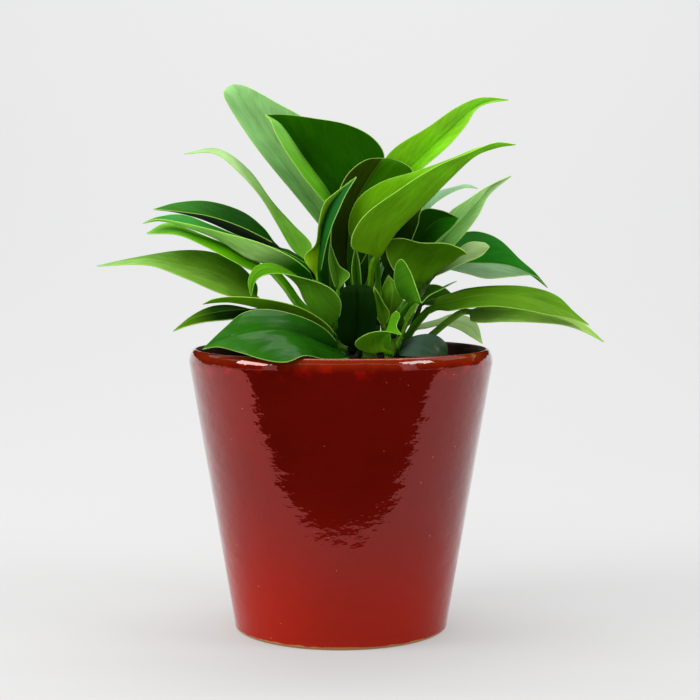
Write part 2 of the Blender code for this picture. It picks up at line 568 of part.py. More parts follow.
def make_crown(crown, centre, mat, parent):
    """A crown stem: a short taper, ringed by the scars of shed leaves."""
    rise = (CROWN_TOP - CROWN_FOOT) / CROWN_RINGS
    profile = [(0.0, CROWN_FOOT)]
    for ring in range(CROWN_RINGS):
        low = CROWN_FOOT + ring * rise
        scar = low + rise * CROWN_RING_SHARE
        profile += [(crown_radius(low), low), (crown_radius(scar) + CROWN_RING_RISE, scar)]
    profile += [(CROWN_TOP_RADIUS * CROWN_TIP_SHARE, CROWN_TOP), (0.0, CROWN_TOP + 1.0)]
    mesh = turned(f"crown_stem_{crown}", profile, CROWN_SIDES, centre)
    add_object(f"crown_stem_{crown}", mesh, mat, parent)


def placed(point):
    """A leaf point moved along its line of sight to its depth."""
    across, depth, up = point
    reach = (depth - EYE.y) / -EYE.y
    return Vector((EYE.x + (across - EYE.x) * reach, depth, EYE.z + (up - EYE.z) * reach))


def smooth(points):
    """A fine line through the points, with a rounded turn at each."""
    ends = [2 * points[0] - points[1], *points, 2 * points[-1] - points[-2]]
    line = [points[0]]
    for before, start, end, after in zip(ends, ends[1:], ends[2:], ends[3:]):
        handle = (end - start).length / 3
        first = start + (end - before).normalized() * handle
        second = end - (after - start).normalized() * handle
        line += interpolate_bezier(start, first, second, end, CURVE_STEPS)[1:]
    return line


def length_of(line):
    return sum((b - a).length for a, b in zip(line, line[1:]))


def spread(line, shares):
    """The points at these rising shares of the line's length."""
    found = []
    total = length_of(line)
    gone = 0.0
    k = 0
    for share in shares:
        while k < len(line) - 2 and gone + (line[k + 1] - line[k]).length < share * total:
            gone += (line[k + 1] - line[k]).length
            k += 1
        step = (line[k + 1] - line[k]).length
        found.append(line[k].lerp(line[k + 1], min(1.0, (share * total - gone) / step)))
    return found


def stalk_start(leaf):
    """Where the stalk stands against its crown stem, and its second point straight above."""
    x, y = CROWNS[leaf["crown"]]
    out = crown_radius(leaf["height"]) + CROWN_RING_RISE + GAP + leaf["radius"]
    turn = math.radians(leaf["heading"])
    foot = Vector((x + out * math.cos(turn), y + out * math.sin(turn), leaf["height"]))
    return [foot, foot + Vector((STALK_LEAN * math.cos(turn), STALK_LEAN * math.sin(turn), STALK_FIRST_RISE))]


def squared(side, along):
    """The unit vector nearest to side that is square to the leaf's run."""
    return (side - along * side.dot(along)).normalized()


def run_at(line, k):
    """The direction of a line of points at its point k."""
    return (line[min(k + 1, len(line) - 1)] - line[max(k - 1, 0)]).normalized()


def blade_shares(count):
    """How far along the blade each station lies, closer together near the base and the tip."""
    even = [k / count for k in range(count + 1)]
    return [(share + 0.5 - 0.5 * math.cos(math.pi * share)) / 2 for share in even]


def blade_rows(leaf):
    """The blade's middle surface, as rows of points from the left edge to the right one."""
    base, tip = placed(leaf["base"]), placed(leaf["tip"])
    edges = [smooth([base, *map(placed, leaf[edge]), tip]) for edge in ("left", "rib", "right")]
    count = round(max(map(length_of, edges)) / BLADE_STEP)
    count = max(FEWEST_BLADE_STATIONS, min(MOST_BLADE_STATIONS, count))
    shares = blade_shares(count)
    left, rib, right = (spread(edge, shares) for edge in edges)
    rows = []
    side = right[1] - left[1]
    for k in range(count + 1):
        along = run_at(rib, k)
        if (right[k] - left[k]).length > 2 * EDGE_HALF_WIDTH:
            side = right[k] - left[k]
        side = squared(side, along)
        halves = []
        for edge, sign in ((left[k], -1), (right[k], 1)):
            out = edge - rib[k]
            widen = side * sign * EDGE_HALF_WIDTH
            arch = (out * sign).cross(along) * BLADE_ARCH
            halves.append([edge + widen, rib[k] + (out + widen) / 2 + arch])
        rows.append([*halves[0], rib[k], *reversed(halves[1])])
    return rows, shares


def shell(rows):
    """Two faces, half the blade's thickness to each side of its middle surface."""
    faces = []
    for k, row in enumerate(rows):
        up, down = [], []
        for j, point in enumerate(row):
            along = run_at([other[j] for other in rows], k)
            strips = [n for n in (j - 1, j) if 0 <= n < ACROSS - 1]
            normals = [(row[n + 1] - row[n]).cross(along).normalized() for n in strips]
            out = sum(normals, Vector()).normalized()
            mitre = 1 / max(1 / MOST_MITRE, out.dot(normals[0]))
            up.append(point + out * mitre * BLADE_THICKNESS / 2)
            down.append(point - out * mitre * BLADE_THICKNESS / 2)
        faces.append((up, down))
    return faces


def round_section(centre, side, up, radius):
    """A stalk's section, with its points in the same order as the blade's."""
    angles = [math.radians(STALK_FIRST_TURN - STALK_TURN * j) for j in range(ACROSS)]
    top = [centre + (side * math.cos(a) + up * math.sin(a)) * radius for a in angles]
    bottom = [centre + (side * math.cos(a) - up * math.sin(a)) * radius for a in angles]
    return top, bottom


def leaf_sections(leaf):
    """The leaf's sections from the foot of its stalk to its tip, each as its upper and lower points."""
    rows, shares = blade_rows(leaf)
    ribs = [row[ACROSS // 2] for row in rows]
    line = smooth([*stalk_start(leaf), *map(placed, leaf["stalk"]), *ribs[:2]])[: 1 - CURVE_STEPS]
    count = max(FEWEST_STALK_STATIONS, round(length_of(line) / STALK_STEP))
    spots = spread(line, [k / count for k in range(count + 1)])
    side = rows[1][-1] - rows[1][0]
    sections = []
    for k in range(count, -1, -1):
        along = run_at(spots, k)
        side = squared(side, along)
        sections.insert(0, round_section(spots[k], side, side.cross(along), leaf["radius"]))
    sections.pop()
    for k, (share, faces) in enumerate(zip(shares, shell(rows))):
        along = run_at(ribs, k)
        edge = rows[max(k, 1)]
        side = squared(edge[-1] - edge[0], along)
        neck = round_section(ribs[k], side, side.cross(along), leaf["radius"])
        opened = min(1.0, share / NECK_SHARE)
        opened = opened * opened * (3 - 2 * opened)
        sections.append([[a.lerp(b, opened) for a, b in zip(*pair)] for pair in zip(neck, faces)])
    return sections


def make_leaf(leaf, parent):
    """One closed solid, split into triangles alike on both faces."""
    bm = bmesh.new()
    sections = [[[bm.verts.new(p * MM) for p in face] for face in section] for section in leaf_sections(leaf)]
    for (up, down), (next_up, next_down) in zip(sections, sections[1:]):
        for j in range(ACROSS - 1):
            bm.faces.new((up[j], up[j + 1], next_up[j + 1]))
            bm.faces.new((up[j], next_up[j + 1], next_up[j]))
            bm.faces.new((down[j], next_down[j + 1], down[j + 1]))
            bm.faces.new((down[j], next_down[j], next_down[j + 1]))
        for j, order in ((0, 1), (ACROSS - 1, -1)):
            bm.faces.new((up[j], next_up[j], next_down[j])[::order])
            bm.faces.new((up[j], next_down[j], down[j])[::order])
    for (up, down), order in ((sections[0], -1), (sections[-1], 1)):
        for j in range(ACROSS - 1):
            bm.faces.new((up[j], up[j + 1], down[j + 1])[:: -order])
            bm.faces.new((up[j], down[j + 1], down[j])[:: -order])
    bmesh.ops.recalc_face_normals(bm, faces=bm.faces)
    mesh = bpy.data.meshes.new(leaf["name"])
    bm.to_mesh(mesh)
    bm.free()
    mesh.shade_smooth()
    mesh.set_sharp_from_angle(angle=math.radians(LEAF_SHARP_ANGLE))
    add_object(leaf["name"], mesh, material(leaf["name"], leaf["green"], 0.35), parent)


def main():
    clear_scene()
    foot = bpy.data.objects.new("pot_foot", None)
    bpy.context.scene.collection.objects.link(foot)
    make_pot(foot)
    make_mix(foot)
    stem = material("crown stem", YOUNG_GREEN, 0.5)
    for crown, centre in CROWNS.items():
        make_crown(crown, centre, stem, foot)
    for leaf in LEAVES:
        make_leaf(leaf, foot)


main()
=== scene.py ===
import math

import bpy
import numpy as np
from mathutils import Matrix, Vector, noise
from mathutils.geometry import interpolate_bezier


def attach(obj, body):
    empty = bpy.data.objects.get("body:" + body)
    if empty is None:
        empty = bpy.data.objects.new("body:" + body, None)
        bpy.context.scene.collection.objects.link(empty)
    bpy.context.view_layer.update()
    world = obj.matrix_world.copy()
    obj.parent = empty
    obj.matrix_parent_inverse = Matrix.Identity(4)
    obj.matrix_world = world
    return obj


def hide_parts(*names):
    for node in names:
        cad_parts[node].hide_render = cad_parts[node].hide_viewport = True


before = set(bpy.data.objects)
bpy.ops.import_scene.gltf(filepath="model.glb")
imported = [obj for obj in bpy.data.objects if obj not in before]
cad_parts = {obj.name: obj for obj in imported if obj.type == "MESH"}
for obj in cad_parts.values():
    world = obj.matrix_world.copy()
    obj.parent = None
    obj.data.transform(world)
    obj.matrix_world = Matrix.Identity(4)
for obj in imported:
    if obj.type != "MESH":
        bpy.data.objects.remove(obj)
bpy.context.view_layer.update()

# The cover pot. It is earthenware, turned on a wheel with a straight taper, dipped in a deep red
# glaze and fired on its bare foot. The glaze is thin on the rim, where the clay warms its colour,
# and it keeps the faint rings of the turning.
MM = 0.001
POT_HEIGHT = 128.0
POT_RIM_RADIUS = 70.0
POT_FOOT_RADIUS = 48.5
POT_WALL = 5.0
POT_FLOOR = 7.0
POT_FOOT_ROUND = 2.0
FOOT_RECESS_RADIUS = 38.0
FOOT_RECESS_DEPTH = 1.0
POT_SIDES = 256
WALL_ROW = 1.6
RING_SPACING = 8.5
RING_DEPTH = 0.006
POT_WOBBLE = 0.12
WANDER_ROUND = 1.5
WANDER_HEIGHT = 40.0
RING_WANDER = 2.0
LIP_OUTER_DROP = 5.6
LIP_OUTER_REACH = 2.9
LIP_INNER_DROP = 2.4


def outer_radius(height):
    return POT_FOOT_RADIUS + (POT_RIM_RADIUS - POT_FOOT_RADIUS) * height / POT_HEIGHT


def inner_radius(height):
    return outer_radius(height) - POT_WALL


def arc(centre, radius, start, end, count, rise=None):
    """Points on an arc in a profile, its angles in degrees from outward. A rise makes it oval."""
    angles = np.radians(np.linspace(start, end, count))
    return [(centre[0] + radius * math.cos(a), centre[1] + (rise or radius) * math.sin(a)) for a in angles]


def straight(start, end, step):
    """Points between two profile points, without either of them."""
    count = max(1, round(math.dist(start, end) / step))
    return [tuple(np.array(start) + (np.array(end) - start) * k / count) for k in range(1, count)]


def mesh_object(name, points, faces, finish):
    """A smooth object from points in millimetres."""
    mesh = bpy.data.meshes.new(name)
    mesh.from_pydata((np.asarray(points) * MM).tolist(), [], faces)
    mesh.shade_smooth()
    mesh.materials.append(finish)
    obj = bpy.data.objects.new(name, mesh)
    bpy.context.scene.collection.objects.link(obj)
    return obj


def turned(name, profile, sides, finish, centre=(0.0, 0.0), swell=lambda turn, height: 0.0):
    """A closed piece turned about the vertical from (radius, height) points, its ends on the axis."""
    turns = [math.tau * k / sides for k in range(sides)]
    points = [(*centre, profile[0][1])]
    for radius, height in profile[1:-1]:
        for turn in turns:
            out = radius + swell(turn, height)
            points.append((centre[0] + out * math.cos(turn), centre[1] + out * math.sin(turn), height))
    points.append((*centre, profile[-1][1]))
    faces = []
    for k in range(sides):
        n = (k + 1) % sides
        faces.append((0, 1 + n, 1 + k))
        for ring in range(len(profile) - 3):
            low = 1 + ring * sides
            faces.append((low + k, low + n, low + sides + n, low + sides + k))
        top = 1 + (len(profile) - 3) * sides
        faces.append((top + k, top + n, len(points) - 1))
    return mesh_object(name, points, faces, finish)


def linear(colour):
    """An sRGB hex colour as linear light, with its alpha."""
    parts = [int(colour[k:k + 2], 16) / 255 for k in (0, 2, 4)]
    return (*(p / 12.92 if p <= 0.04045 else ((p + 0.055) / 1.055) ** 2.4 for p in parts), 1.0)


def add_node(tree, kind, inputs, **settings):
    """A node with its settings, and its inputs set or linked. A node given whole links its first output."""
    node = tree.nodes.new(kind)
    for name, value in settings.items():
        setattr(node, name, value)
    for name, value in inputs.items():
        if isinstance(value, bpy.types.Node):
            value = next(output for output in value.outputs if output.enabled)
        if isinstance(value, bpy.types.NodeSocket):
            tree.links.new(value, node.inputs[name])
        else:
            node.inputs[name].default_value = value
    return node


def new_finish(name):
    """An empty material, with its tree and its output's surface socket."""
    finish = bpy.data.materials.new(name)
    finish.use_nodes = True
    finish.node_tree.nodes.clear()
    output = finish.node_tree.nodes.new("ShaderNodeOutputMaterial")
    return finish, finish.node_tree, output.inputs["Surface"]


GLAZE_RED = "8e1509"
GLAZE_DEEP_RED = "7c1007"
FOOT_RED = "aa1d07"
FLECK_RED = "c40c04"
THIN_RIM_BROWN = "761e04"
PINHOLE_PINK = "e08a78"
# Painted shade for the inside of the wall.
WELL_PAINTED_SHADE = "2c1c17"
CLAY_DARK = "a06a34"
CLAY_LIGHT = "b58450"
CLOUD_SIZE = 22.0
FOOT_CHANGE_HEIGHTS = (75.0, 4.0)
FOOT_CHANGE_DEPTHS = (0.7, 0.38)
FOOT_CHANGE_COATS = (0.54, 0.05)
# Painted shade down the middle and the right of the pot: where across it starts and is full, how dark, how
# much.
RIGHT_SHADE_PLACES = (-42.0, 4.0)
RIGHT_SHADE_FACTOR = 0.62
RIGHT_SHADE_SHARE = 0.6
PINHOLE_SPACING = 5.0
PINHOLE_EDGES = (0.055, 0.035)
PINHOLE_RARITY = 0.62
RAGGED_SIZE = 6.0
RAGGED_RISE = 3.0
THIN_HEIGHTS = (123.5, 127.5)
THIN_DEPTH = -0.55
FLECK_HEIGHTS = (119.0, 124.0)
FLECK_EDGES = (0.5, 0.62)
FLECK_STRENGTH = 0.5
# Painted shade in the well: how far past the inner wall it starts and is full, how strong, and how matt.
WELL_SHADE_PAST_WALL = (1.2, 0.4)
WELL_SHADE_STRENGTH = 0.9
WELL_ROUGHNESS = 0.6
WORN_BELOW_TOP = (1.1, 0.3)
WORN_COAT = 0.2
GLAZE_ROUGHNESS = 0.08
RIPPLE_WIDTH = 12.0
RIPPLE_HEIGHT = 7.0
RIPPLE_DEPTH = 0.36
PEEL_SIZE = 1.4
PEEL_SHARE = 0.045
CLAY_GRAIN = 0.8
BARE_FOOT = (0.55, 0.85)
BARE_RAGGED = -1.6


def red_glaze():
    """Lead-free red glaze on turned earthenware: a deep wet red with the kiln's pinholes, ripples from
    the wheel that break up its reflections, a thin tawny rim, and a bare clay foot."""
    finish, tree, surface = new_finish("red_glaze_on_earthenware")
    place = add_node(tree, "ShaderNodeTexCoord", {}).outputs["Object"]
    axes = add_node(tree, "ShaderNodeSeparateXYZ", {"Vector": place}).outputs
    height = axes["Z"]
    clouds = add_node(tree, "ShaderNodeTexNoise", {
        "Vector": place, "Scale": 1 / (CLOUD_SIZE * MM), "Detail": 4.0})
    red = add_node(tree, "ShaderNodeMix", {
        "Factor": clouds, "A": linear(GLAZE_RED), "B": linear(GLAZE_DEEP_RED)}, data_type="RGBA")
    # Towards the foot the red turns warmer and brighter, and the glaze less metallic and less coated.
    low = add_node(tree, "ShaderNodeMapRange", {
        "Value": height, "From Min": FOOT_CHANGE_HEIGHTS[0] * MM, "From Max": FOOT_CHANGE_HEIGHTS[1] * MM},
        interpolation_type="SMOOTHSTEP")
    warm = add_node(tree, "ShaderNodeMix", {
        "Factor": low, "A": red, "B": linear(FOOT_RED)}, data_type="RGBA")
    depth = add_node(tree, "ShaderNodeMapRange", {
        "Value": low, "To Min": FOOT_CHANGE_DEPTHS[0], "To Max": FOOT_CHANGE_DEPTHS[1]})
    even = add_node(tree, "ShaderNodeMapRange", {
        "Value": low, "To Min": FOOT_CHANGE_COATS[0], "To Max": FOOT_CHANGE_COATS[1]})
    # Painted shade: the red darkens from the left, which the lamps light more, to the middle and the right,
    # where its metallic share drops too. The mask for it is named thick.
    thick = add_node(tree, "ShaderNodeMapRange", {
        "Value": axes["X"], "From Min": RIGHT_SHADE_PLACES[0] * MM, "From Max": RIGHT_SHADE_PLACES[1] * MM,
        "To Min": 1.0, "To Max": RIGHT_SHADE_FACTOR}, interpolation_type="SMOOTHSTEP")
    right_shaded_red = add_node(tree, "ShaderNodeVectorMath", {0: warm, "Scale": thick}, operation="SCALE")
    shaded = add_node(tree, "ShaderNodeMix", {
        "Factor": RIGHT_SHADE_SHARE, "A": warm, "B": right_shaded_red}, data_type="RGBA")
    right_shade_depth = add_node(tree, "ShaderNodeMath", {0: depth, 1: thick}, operation="MULTIPLY")
    # Pinholes: light specks of half a millimetre, in four of ten places where one could be.
    cells = add_node(tree, "ShaderNodeTexVoronoi", {
        "Vector": place, "Scale": 1 / (PINHOLE_SPACING * MM), "Randomness": 1.0}).outputs
    speck = add_node(tree, "ShaderNodeMapRange", {
        "Value": cells["Distance"], "From Min": PINHOLE_EDGES[0], "From Max": PINHOLE_EDGES[1]})
    kind = add_node(tree, "ShaderNodeSeparateColor", {"Color": cells["Color"]})
    rare = add_node(tree, "ShaderNodeMath", {0: kind, 1: PINHOLE_RARITY}, operation="GREATER_THAN")
    pin = add_node(tree, "ShaderNodeMath", {0: speck, 1: rare}, operation="MULTIPLY", use_clamp=True)
    speckled = add_node(tree, "ShaderNodeMix", {
        "Factor": pin, "A": shaded, "B": linear(PINHOLE_PINK)}, data_type="RGBA")
    # The rim's thin coat, with a ragged lower edge.
    ragged = add_node(tree, "ShaderNodeTexNoise", {
        "Vector": place, "Scale": 1 / (RAGGED_SIZE * MM), "Detail": 3.0})
    rise = add_node(tree, "ShaderNodeMath", {
        0: ragged, 1: RAGGED_RISE * MM, 2: height}, operation="MULTIPLY_ADD")
    thin = add_node(tree, "ShaderNodeMapRange", {
        "Value": rise, "From Min": THIN_HEIGHTS[0] * MM, "From Max": THIN_HEIGHTS[1] * MM})
    coated = add_node(tree, "ShaderNodeMath", {0: thin, 1: even}, operation="ADD", use_clamp=True)
    deep = add_node(tree, "ShaderNodeMath", {
        0: thin, 1: THIN_DEPTH, 2: right_shade_depth}, operation="MULTIPLY_ADD", use_clamp=True)
    # Under the lip, brighter red flecks.
    under_lip = add_node(tree, "ShaderNodeMapRange", {
        "Value": rise, "From Min": FLECK_HEIGHTS[0] * MM, "From Max": FLECK_HEIGHTS[1] * MM,
        "To Max": FLECK_STRENGTH})
    flecks = add_node(tree, "ShaderNodeMapRange", {
        "Value": ragged, "From Min": FLECK_EDGES[0], "From Max": FLECK_EDGES[1]})
    under_lip_flecks = add_node(tree, "ShaderNodeMath", {
        0: under_lip, 1: flecks}, operation="MULTIPLY", use_clamp=True)
    flecked = add_node(tree, "ShaderNodeMix", {
        "Factor": under_lip_flecks, "A": speckled, "B": linear(FLECK_RED)}, data_type="RGBA")
    coat = add_node(tree, "ShaderNodeMix", {
        "Factor": thin, "A": flecked, "B": linear(THIN_RIM_BROWN)}, data_type="RGBA")
    # Painted shade: the inside of the wall is darkened up to the rim, where shade falls into the well, and
    # made matt. The rim's crest is worn dull.
    flat = add_node(tree, "ShaderNodeVectorMath", {0: place, 1: (1.0, 1.0, 0.0)}, operation="MULTIPLY")
    radius = add_node(tree, "ShaderNodeVectorMath", {0: flat}, operation="LENGTH")
    taper = (POT_RIM_RADIUS - POT_FOOT_RADIUS) / POT_HEIGHT
    inward = add_node(tree, "ShaderNodeMath", {0: height, 1: -taper, 2: radius}, operation="MULTIPLY_ADD")
    wall = POT_FOOT_RADIUS - POT_WALL
    inside = add_node(tree, "ShaderNodeMapRange", {
        "Value": inward, "From Min": (wall + WELL_SHADE_PAST_WALL[0]) * MM,
        "From Max": (wall + WELL_SHADE_PAST_WALL[1]) * MM, "To Max": WELL_SHADE_STRENGTH})
    well_shaded = add_node(tree, "ShaderNodeMix", {
        "Factor": inside, "A": coat, "B": linear(WELL_PAINTED_SHADE)}, data_type="RGBA")
    crest = add_node(tree, "ShaderNodeMapRange", {
        "Value": height, "From Min": (POT_HEIGHT - WORN_BELOW_TOP[0]) * MM,
        "From Max": (POT_HEIGHT - WORN_BELOW_TOP[1]) * MM, "To Min": 1.0, "To Max": WORN_COAT})
    worn = add_node(tree, "ShaderNodeMath", {0: coated, 1: crest}, operation="MULTIPLY")
    clean = add_node(tree, "ShaderNodeMath", {0: worn, 1: inside}, operation="SUBTRACT", use_clamp=True)
    dulled = add_node(tree, "ShaderNodeMath", {
        0: inside, 1: WELL_ROUGHNESS, 2: GLAZE_ROUGHNESS}, operation="MULTIPLY_ADD")
    # Long ripples from the turning, with a fine orange peel over them.
    spread_out = add_node(tree, "ShaderNodeVectorMath", {
        0: place, 1: (1 / (RIPPLE_WIDTH * MM), 1 / (RIPPLE_WIDTH * MM), 1 / (RIPPLE_HEIGHT * MM))},
        operation="MULTIPLY")
    ripple = add_node(tree, "ShaderNodeTexNoise", {
        "Vector": spread_out, "Scale": 1.0, "Detail": 3.0, "Roughness": 0.5})
    peel = add_node(tree, "ShaderNodeTexNoise", {
        "Vector": place, "Scale": 1 / (PEEL_SIZE * MM), "Detail": 1.0})
    relief = add_node(tree, "ShaderNodeMath", {0: peel, 1: PEEL_SHARE, 2: ripple}, operation="MULTIPLY_ADD")
    bump = add_node(tree, "ShaderNodeBump", {
        "Height": relief, "Strength": 1.0, "Distance": RIPPLE_DEPTH * MM})
    glaze = add_node(tree, "ShaderNodeBsdfPrincipled", {
        "Base Color": well_shaded, "Roughness": dulled, "Metallic": deep, "IOR": 1.5,
        "Specular IOR Level": 0.16, "Coat Weight": clean, "Coat Roughness": 0.02, "Coat IOR": 1.5,
        "Normal": bump, "Coat Normal": bump})
    # The foot was wiped bare before the firing.
    grain = add_node(tree, "ShaderNodeTexNoise", {
        "Vector": place, "Scale": 1 / (CLAY_GRAIN * MM), "Detail": 4.0})
    clay_colour = add_node(tree, "ShaderNodeMix", {
        "Factor": grain, "A": linear(CLAY_DARK), "B": linear(CLAY_LIGHT)}, data_type="RGBA")
    clay = add_node(tree, "ShaderNodeBsdfPrincipled", {"Base Color": clay_colour, "Roughness": 0.85})
    bare = add_node(tree, "ShaderNodeMath", {
        0: ragged, 1: BARE_RAGGED * MM, 2: height}, operation="MULTIPLY_ADD")
    edge = add_node(tree, "ShaderNodeMapRange", {
        "Value": bare, "From Min": BARE_FOOT[0] * MM, "From Max": BARE_FOOT[1] * MM})
    both = add_node(tree, "ShaderNodeMixShader", {0: edge, 1: clay, 2: glaze})
    tree.links.new(both.outputs[0], surface)
    return finish


def pot_swell(turn, height):
    """What the wheel left: rings up the wall and a slow wander of its radius."""
    wander = noise.noise((
        WANDER_ROUND * math.cos(turn), WANDER_ROUND * math.sin(turn), height / WANDER_HEIGHT))
    rings = math.sin(math.tau * height / RING_SPACING + wander * RING_WANDER)
    return POT_WOBBLE * wander + RING_DEPTH * rings


lip_start = POT_HEIGHT - LIP_OUTER_DROP
lip_top = outer_radius(lip_start) - LIP_OUTER_REACH
lip_end = POT_HEIGHT - LIP_INNER_DROP
foot_centre = (outer_radius(POT_FOOT_ROUND) - POT_FOOT_ROUND, POT_FOOT_ROUND)
foot = arc(foot_centre, POT_FOOT_ROUND, -90, 8, 8)
rim = arc((lip_top, lip_start), LIP_OUTER_REACH, 0, 90, 14, LIP_OUTER_DROP)
rim += arc((lip_top, lip_end), lip_top - inner_radius(lip_end), 90, 180, 8, LIP_INNER_DROP)[1:]
well = arc((inner_radius(POT_FLOOR) - POT_FOOT_ROUND, POT_FLOOR + POT_FOOT_ROUND), POT_FOOT_ROUND, 0, -90, 5)
recess = [(FOOT_RECESS_RADIUS, FOOT_RECESS_DEPTH), (FOOT_RECESS_RADIUS + FOOT_RECESS_DEPTH, 0.0)]
profile = [(0.0, FOOT_RECESS_DEPTH), *recess, *foot, *straight(foot[-1], rim[0], WALL_ROW), *rim]
profile += [*straight(rim[-1], well[0], 4 * WALL_ROW), *well, (0.0, POT_FLOOR)]
pot = turned("cover_pot", profile, POT_SIDES, red_glaze(), swell=pot_swell)
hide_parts("pot")
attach(pot, "root")

# The potting mix. It is bark and peat with white perlite, pressed in by hand to a little under the
# rim in low mounds. Loose crumbs of each lie on top, and they are scattered by rule.
MIX_LEVEL = 120.0
MIX_MOUND = 1.2
MOUNDS_ACROSS = (0.11, 1.3)
MOUNDS_BEHIND = (0.13, -0.4)
SLANTING_MOUNDS = (0.23, -0.19, 0.5)
MIX_RINGS = 40
MIX_SIDES = 128
MIX_RELIEF = ((3.0, 0.45, 0.0), (1.2, 0.25, 4.0))
GAP = 0.3
CRUMB_SEED = 7
CRUMB_SHADES = (0.35, 0.65)
CRUMB_ROUGHNESS = 0.85
CRUMB_PITS = 0.3
BARK_SIZES = ((0.0006, 0.0005, 0.0004), (0.0021, 0.0014, 0.0010))
BARK_PER_SQUARE_METRE = 190000.0
PERLITE_SIZES = ((0.0005, 0.0005, 0.0005), (0.0013, 0.0012, 0.0011))
PERLITE_PER_SQUARE_METRE = 11000.0


def mix_height(x, y):
    """The top of the mix: low mounds, with crumbly relief, that fade out at the wall."""
    across = math.sin(MOUNDS_ACROSS[0] * x + MOUNDS_ACROSS[1])
    behind = math.cos(MOUNDS_BEHIND[0] * y + MOUNDS_BEHIND[1])
    slanting = math.sin(SLANTING_MOUNDS[0] * x + SLANTING_MOUNDS[1] * y)
    waves = across * behind + SLANTING_MOUNDS[2] * slanting
    fade = 1.0 - (math.hypot(x, y) / inner_radius(MIX_LEVEL)) ** 4
    crumbs = sum(noise.noise((x / size, y / size, layer)) * rise for size, rise, layer in MIX_RELIEF)
    return MIX_LEVEL + MIX_MOUND * waves * fade + crumbs


def damp_crumbs(name, dark, light, size):
    """Damp plant fibre or puffed rock: matt, with each crumb mottled between two colours."""
    finish, tree, surface = new_finish(name)
    place = add_node(tree, "ShaderNodeTexCoord", {}).outputs["Object"]
    mottle = add_node(tree, "ShaderNodeTexNoise", {"Vector": place, "Scale": 1 / (size * MM), "Detail": 5.0})
    ramp = add_node(tree, "ShaderNodeMapRange", {
        "Value": mottle, "From Min": CRUMB_SHADES[0], "From Max": CRUMB_SHADES[1]})
    colour = add_node(tree, "ShaderNodeMix", {
        "Factor": ramp, "A": linear(dark), "B": linear(light)}, data_type="RGBA")
    bump = add_node(tree, "ShaderNodeBump", {"Height": mottle, "Strength": 0.6, "Distance": CRUMB_PITS * MM})
    shader = add_node(tree, "ShaderNodeBsdfPrincipled", {
        "Base Color": colour, "Roughness": CRUMB_ROUGHNESS, "Normal": bump})
    tree.links.new(shader.outputs[0], surface)
    return finish


def scatter_tree():
    """Crumbs on a surface: lumpy chunks, each with a turn and a size of its own."""
    tree = bpy.data.node_groups.new("scattered crumbs", "GeometryNodeTree")
    for name, kind in (("Geometry", "NodeSocketGeometry"), ("Density", "NodeSocketFloat"),
                       ("Smallest", "NodeSocketVector"), ("Largest", "NodeSocketVector"),
                       ("Seed", "NodeSocketInt"), ("Finish", "NodeSocketMaterial")):
        tree.interface.new_socket(name, in_out="INPUT", socket_type=kind)
    tree.interface.new_socket("Geometry", in_out="OUTPUT", socket_type="NodeSocketGeometry")
    given = add_node(tree, "NodeGroupInput", {}).outputs
    spots = add_node(tree, "GeometryNodeDistributePointsOnFaces", {
        "Mesh": given["Geometry"], "Density": given["Density"], "Seed": given["Seed"]})
    chunk = add_node(tree, "GeometryNodeMeshIcoSphere", {"Radius": 1.0, "Subdivisions": 1})
    corner = add_node(tree, "GeometryNodeInputPosition", {})
    lump = add_node(tree, "ShaderNodeTexWhiteNoise", {"Vector": corner}, noise_dimensions="3D")
    pull = add_node(tree, "ShaderNodeVectorMath", {
        0: lump.outputs["Color"], 1: (0.5, 0.5, 0.5)}, operation="SUBTRACT")
    lumpy = add_node(tree, "GeometryNodeSetPosition", {"Geometry": chunk, "Offset": pull})
    size = add_node(tree, "FunctionNodeRandomValue", {
        0: given["Smallest"], 1: given["Largest"], "Seed": given["Seed"]}, data_type="FLOAT_VECTOR")
    turn = add_node(tree, "FunctionNodeRandomValue", {
        0: (0.0, 0.0, 0.0), 1: (math.tau, math.tau, math.tau), "Seed": given["Seed"]},
        data_type="FLOAT_VECTOR")
    placed_chunks = add_node(tree, "GeometryNodeInstanceOnPoints", {
        "Points": spots, "Instance": lumpy, "Rotation": turn, "Scale": size})
    real = add_node(tree, "GeometryNodeRealizeInstances", {"Geometry": placed_chunks})
    dressed = add_node(tree, "GeometryNodeSetMaterial", {"Geometry": real, "Material": given["Finish"]})
    add_node(tree, "NodeGroupOutput", {"Geometry": dressed})
    return tree


def scatter(name, ground, tree, settings):
    """The tree's result on the ground's faces, as a plain mesh."""
    modifier = ground.modifiers.new(name, "NODES")
    modifier.node_group = tree
    sockets = {item.name: item.identifier for item in tree.interface.items_tree if item.in_out == "INPUT"}
    for label, value in settings.items():
        modifier[sockets[label]] = value
    graph = bpy.context.evaluated_depsgraph_get()
    mesh = bpy.data.meshes.new_from_object(ground.evaluated_get(graph))
    ground.modifiers.remove(modifier)
    obj = bpy.data.objects.new(name, mesh)
    mesh.name = name
    bpy.context.scene.collection.objects.link(obj)
    return obj


bark_finish = damp_crumbs("damp_bark_and_peat", dark="130c08", light="3a281b", size=1.2)
perlite_finish = damp_crumbs("puffed_perlite", dark="c9c5bb", light="f1eee6", size=0.9)
mix_wall = inner_radius(MIX_LEVEL) - GAP
mix_turns = [math.tau * k / MIX_SIDES for k in range(MIX_SIDES)]
mix_points = [(0.0, 0.0, mix_height(0.0, 0.0))]
for ring in range(1, MIX_RINGS + 1):
    for turn in mix_turns:
        x, y = (mix_wall * ring / MIX_RINGS * f(turn) for f in (math.cos, math.sin))
        mix_points.append((x, y, mix_height(x, y)))
mix_faces = []
for k in range(MIX_SIDES):
    n = (k + 1) % MIX_SIDES
    mix_faces.append((0, 1 + k, 1 + n))
    for ring in range(MIX_RINGS - 1):
        inner = 1 + ring * MIX_SIDES
        mix_faces.append((inner + k, inner + MIX_SIDES + k, inner + MIX_SIDES + n, inner + n))
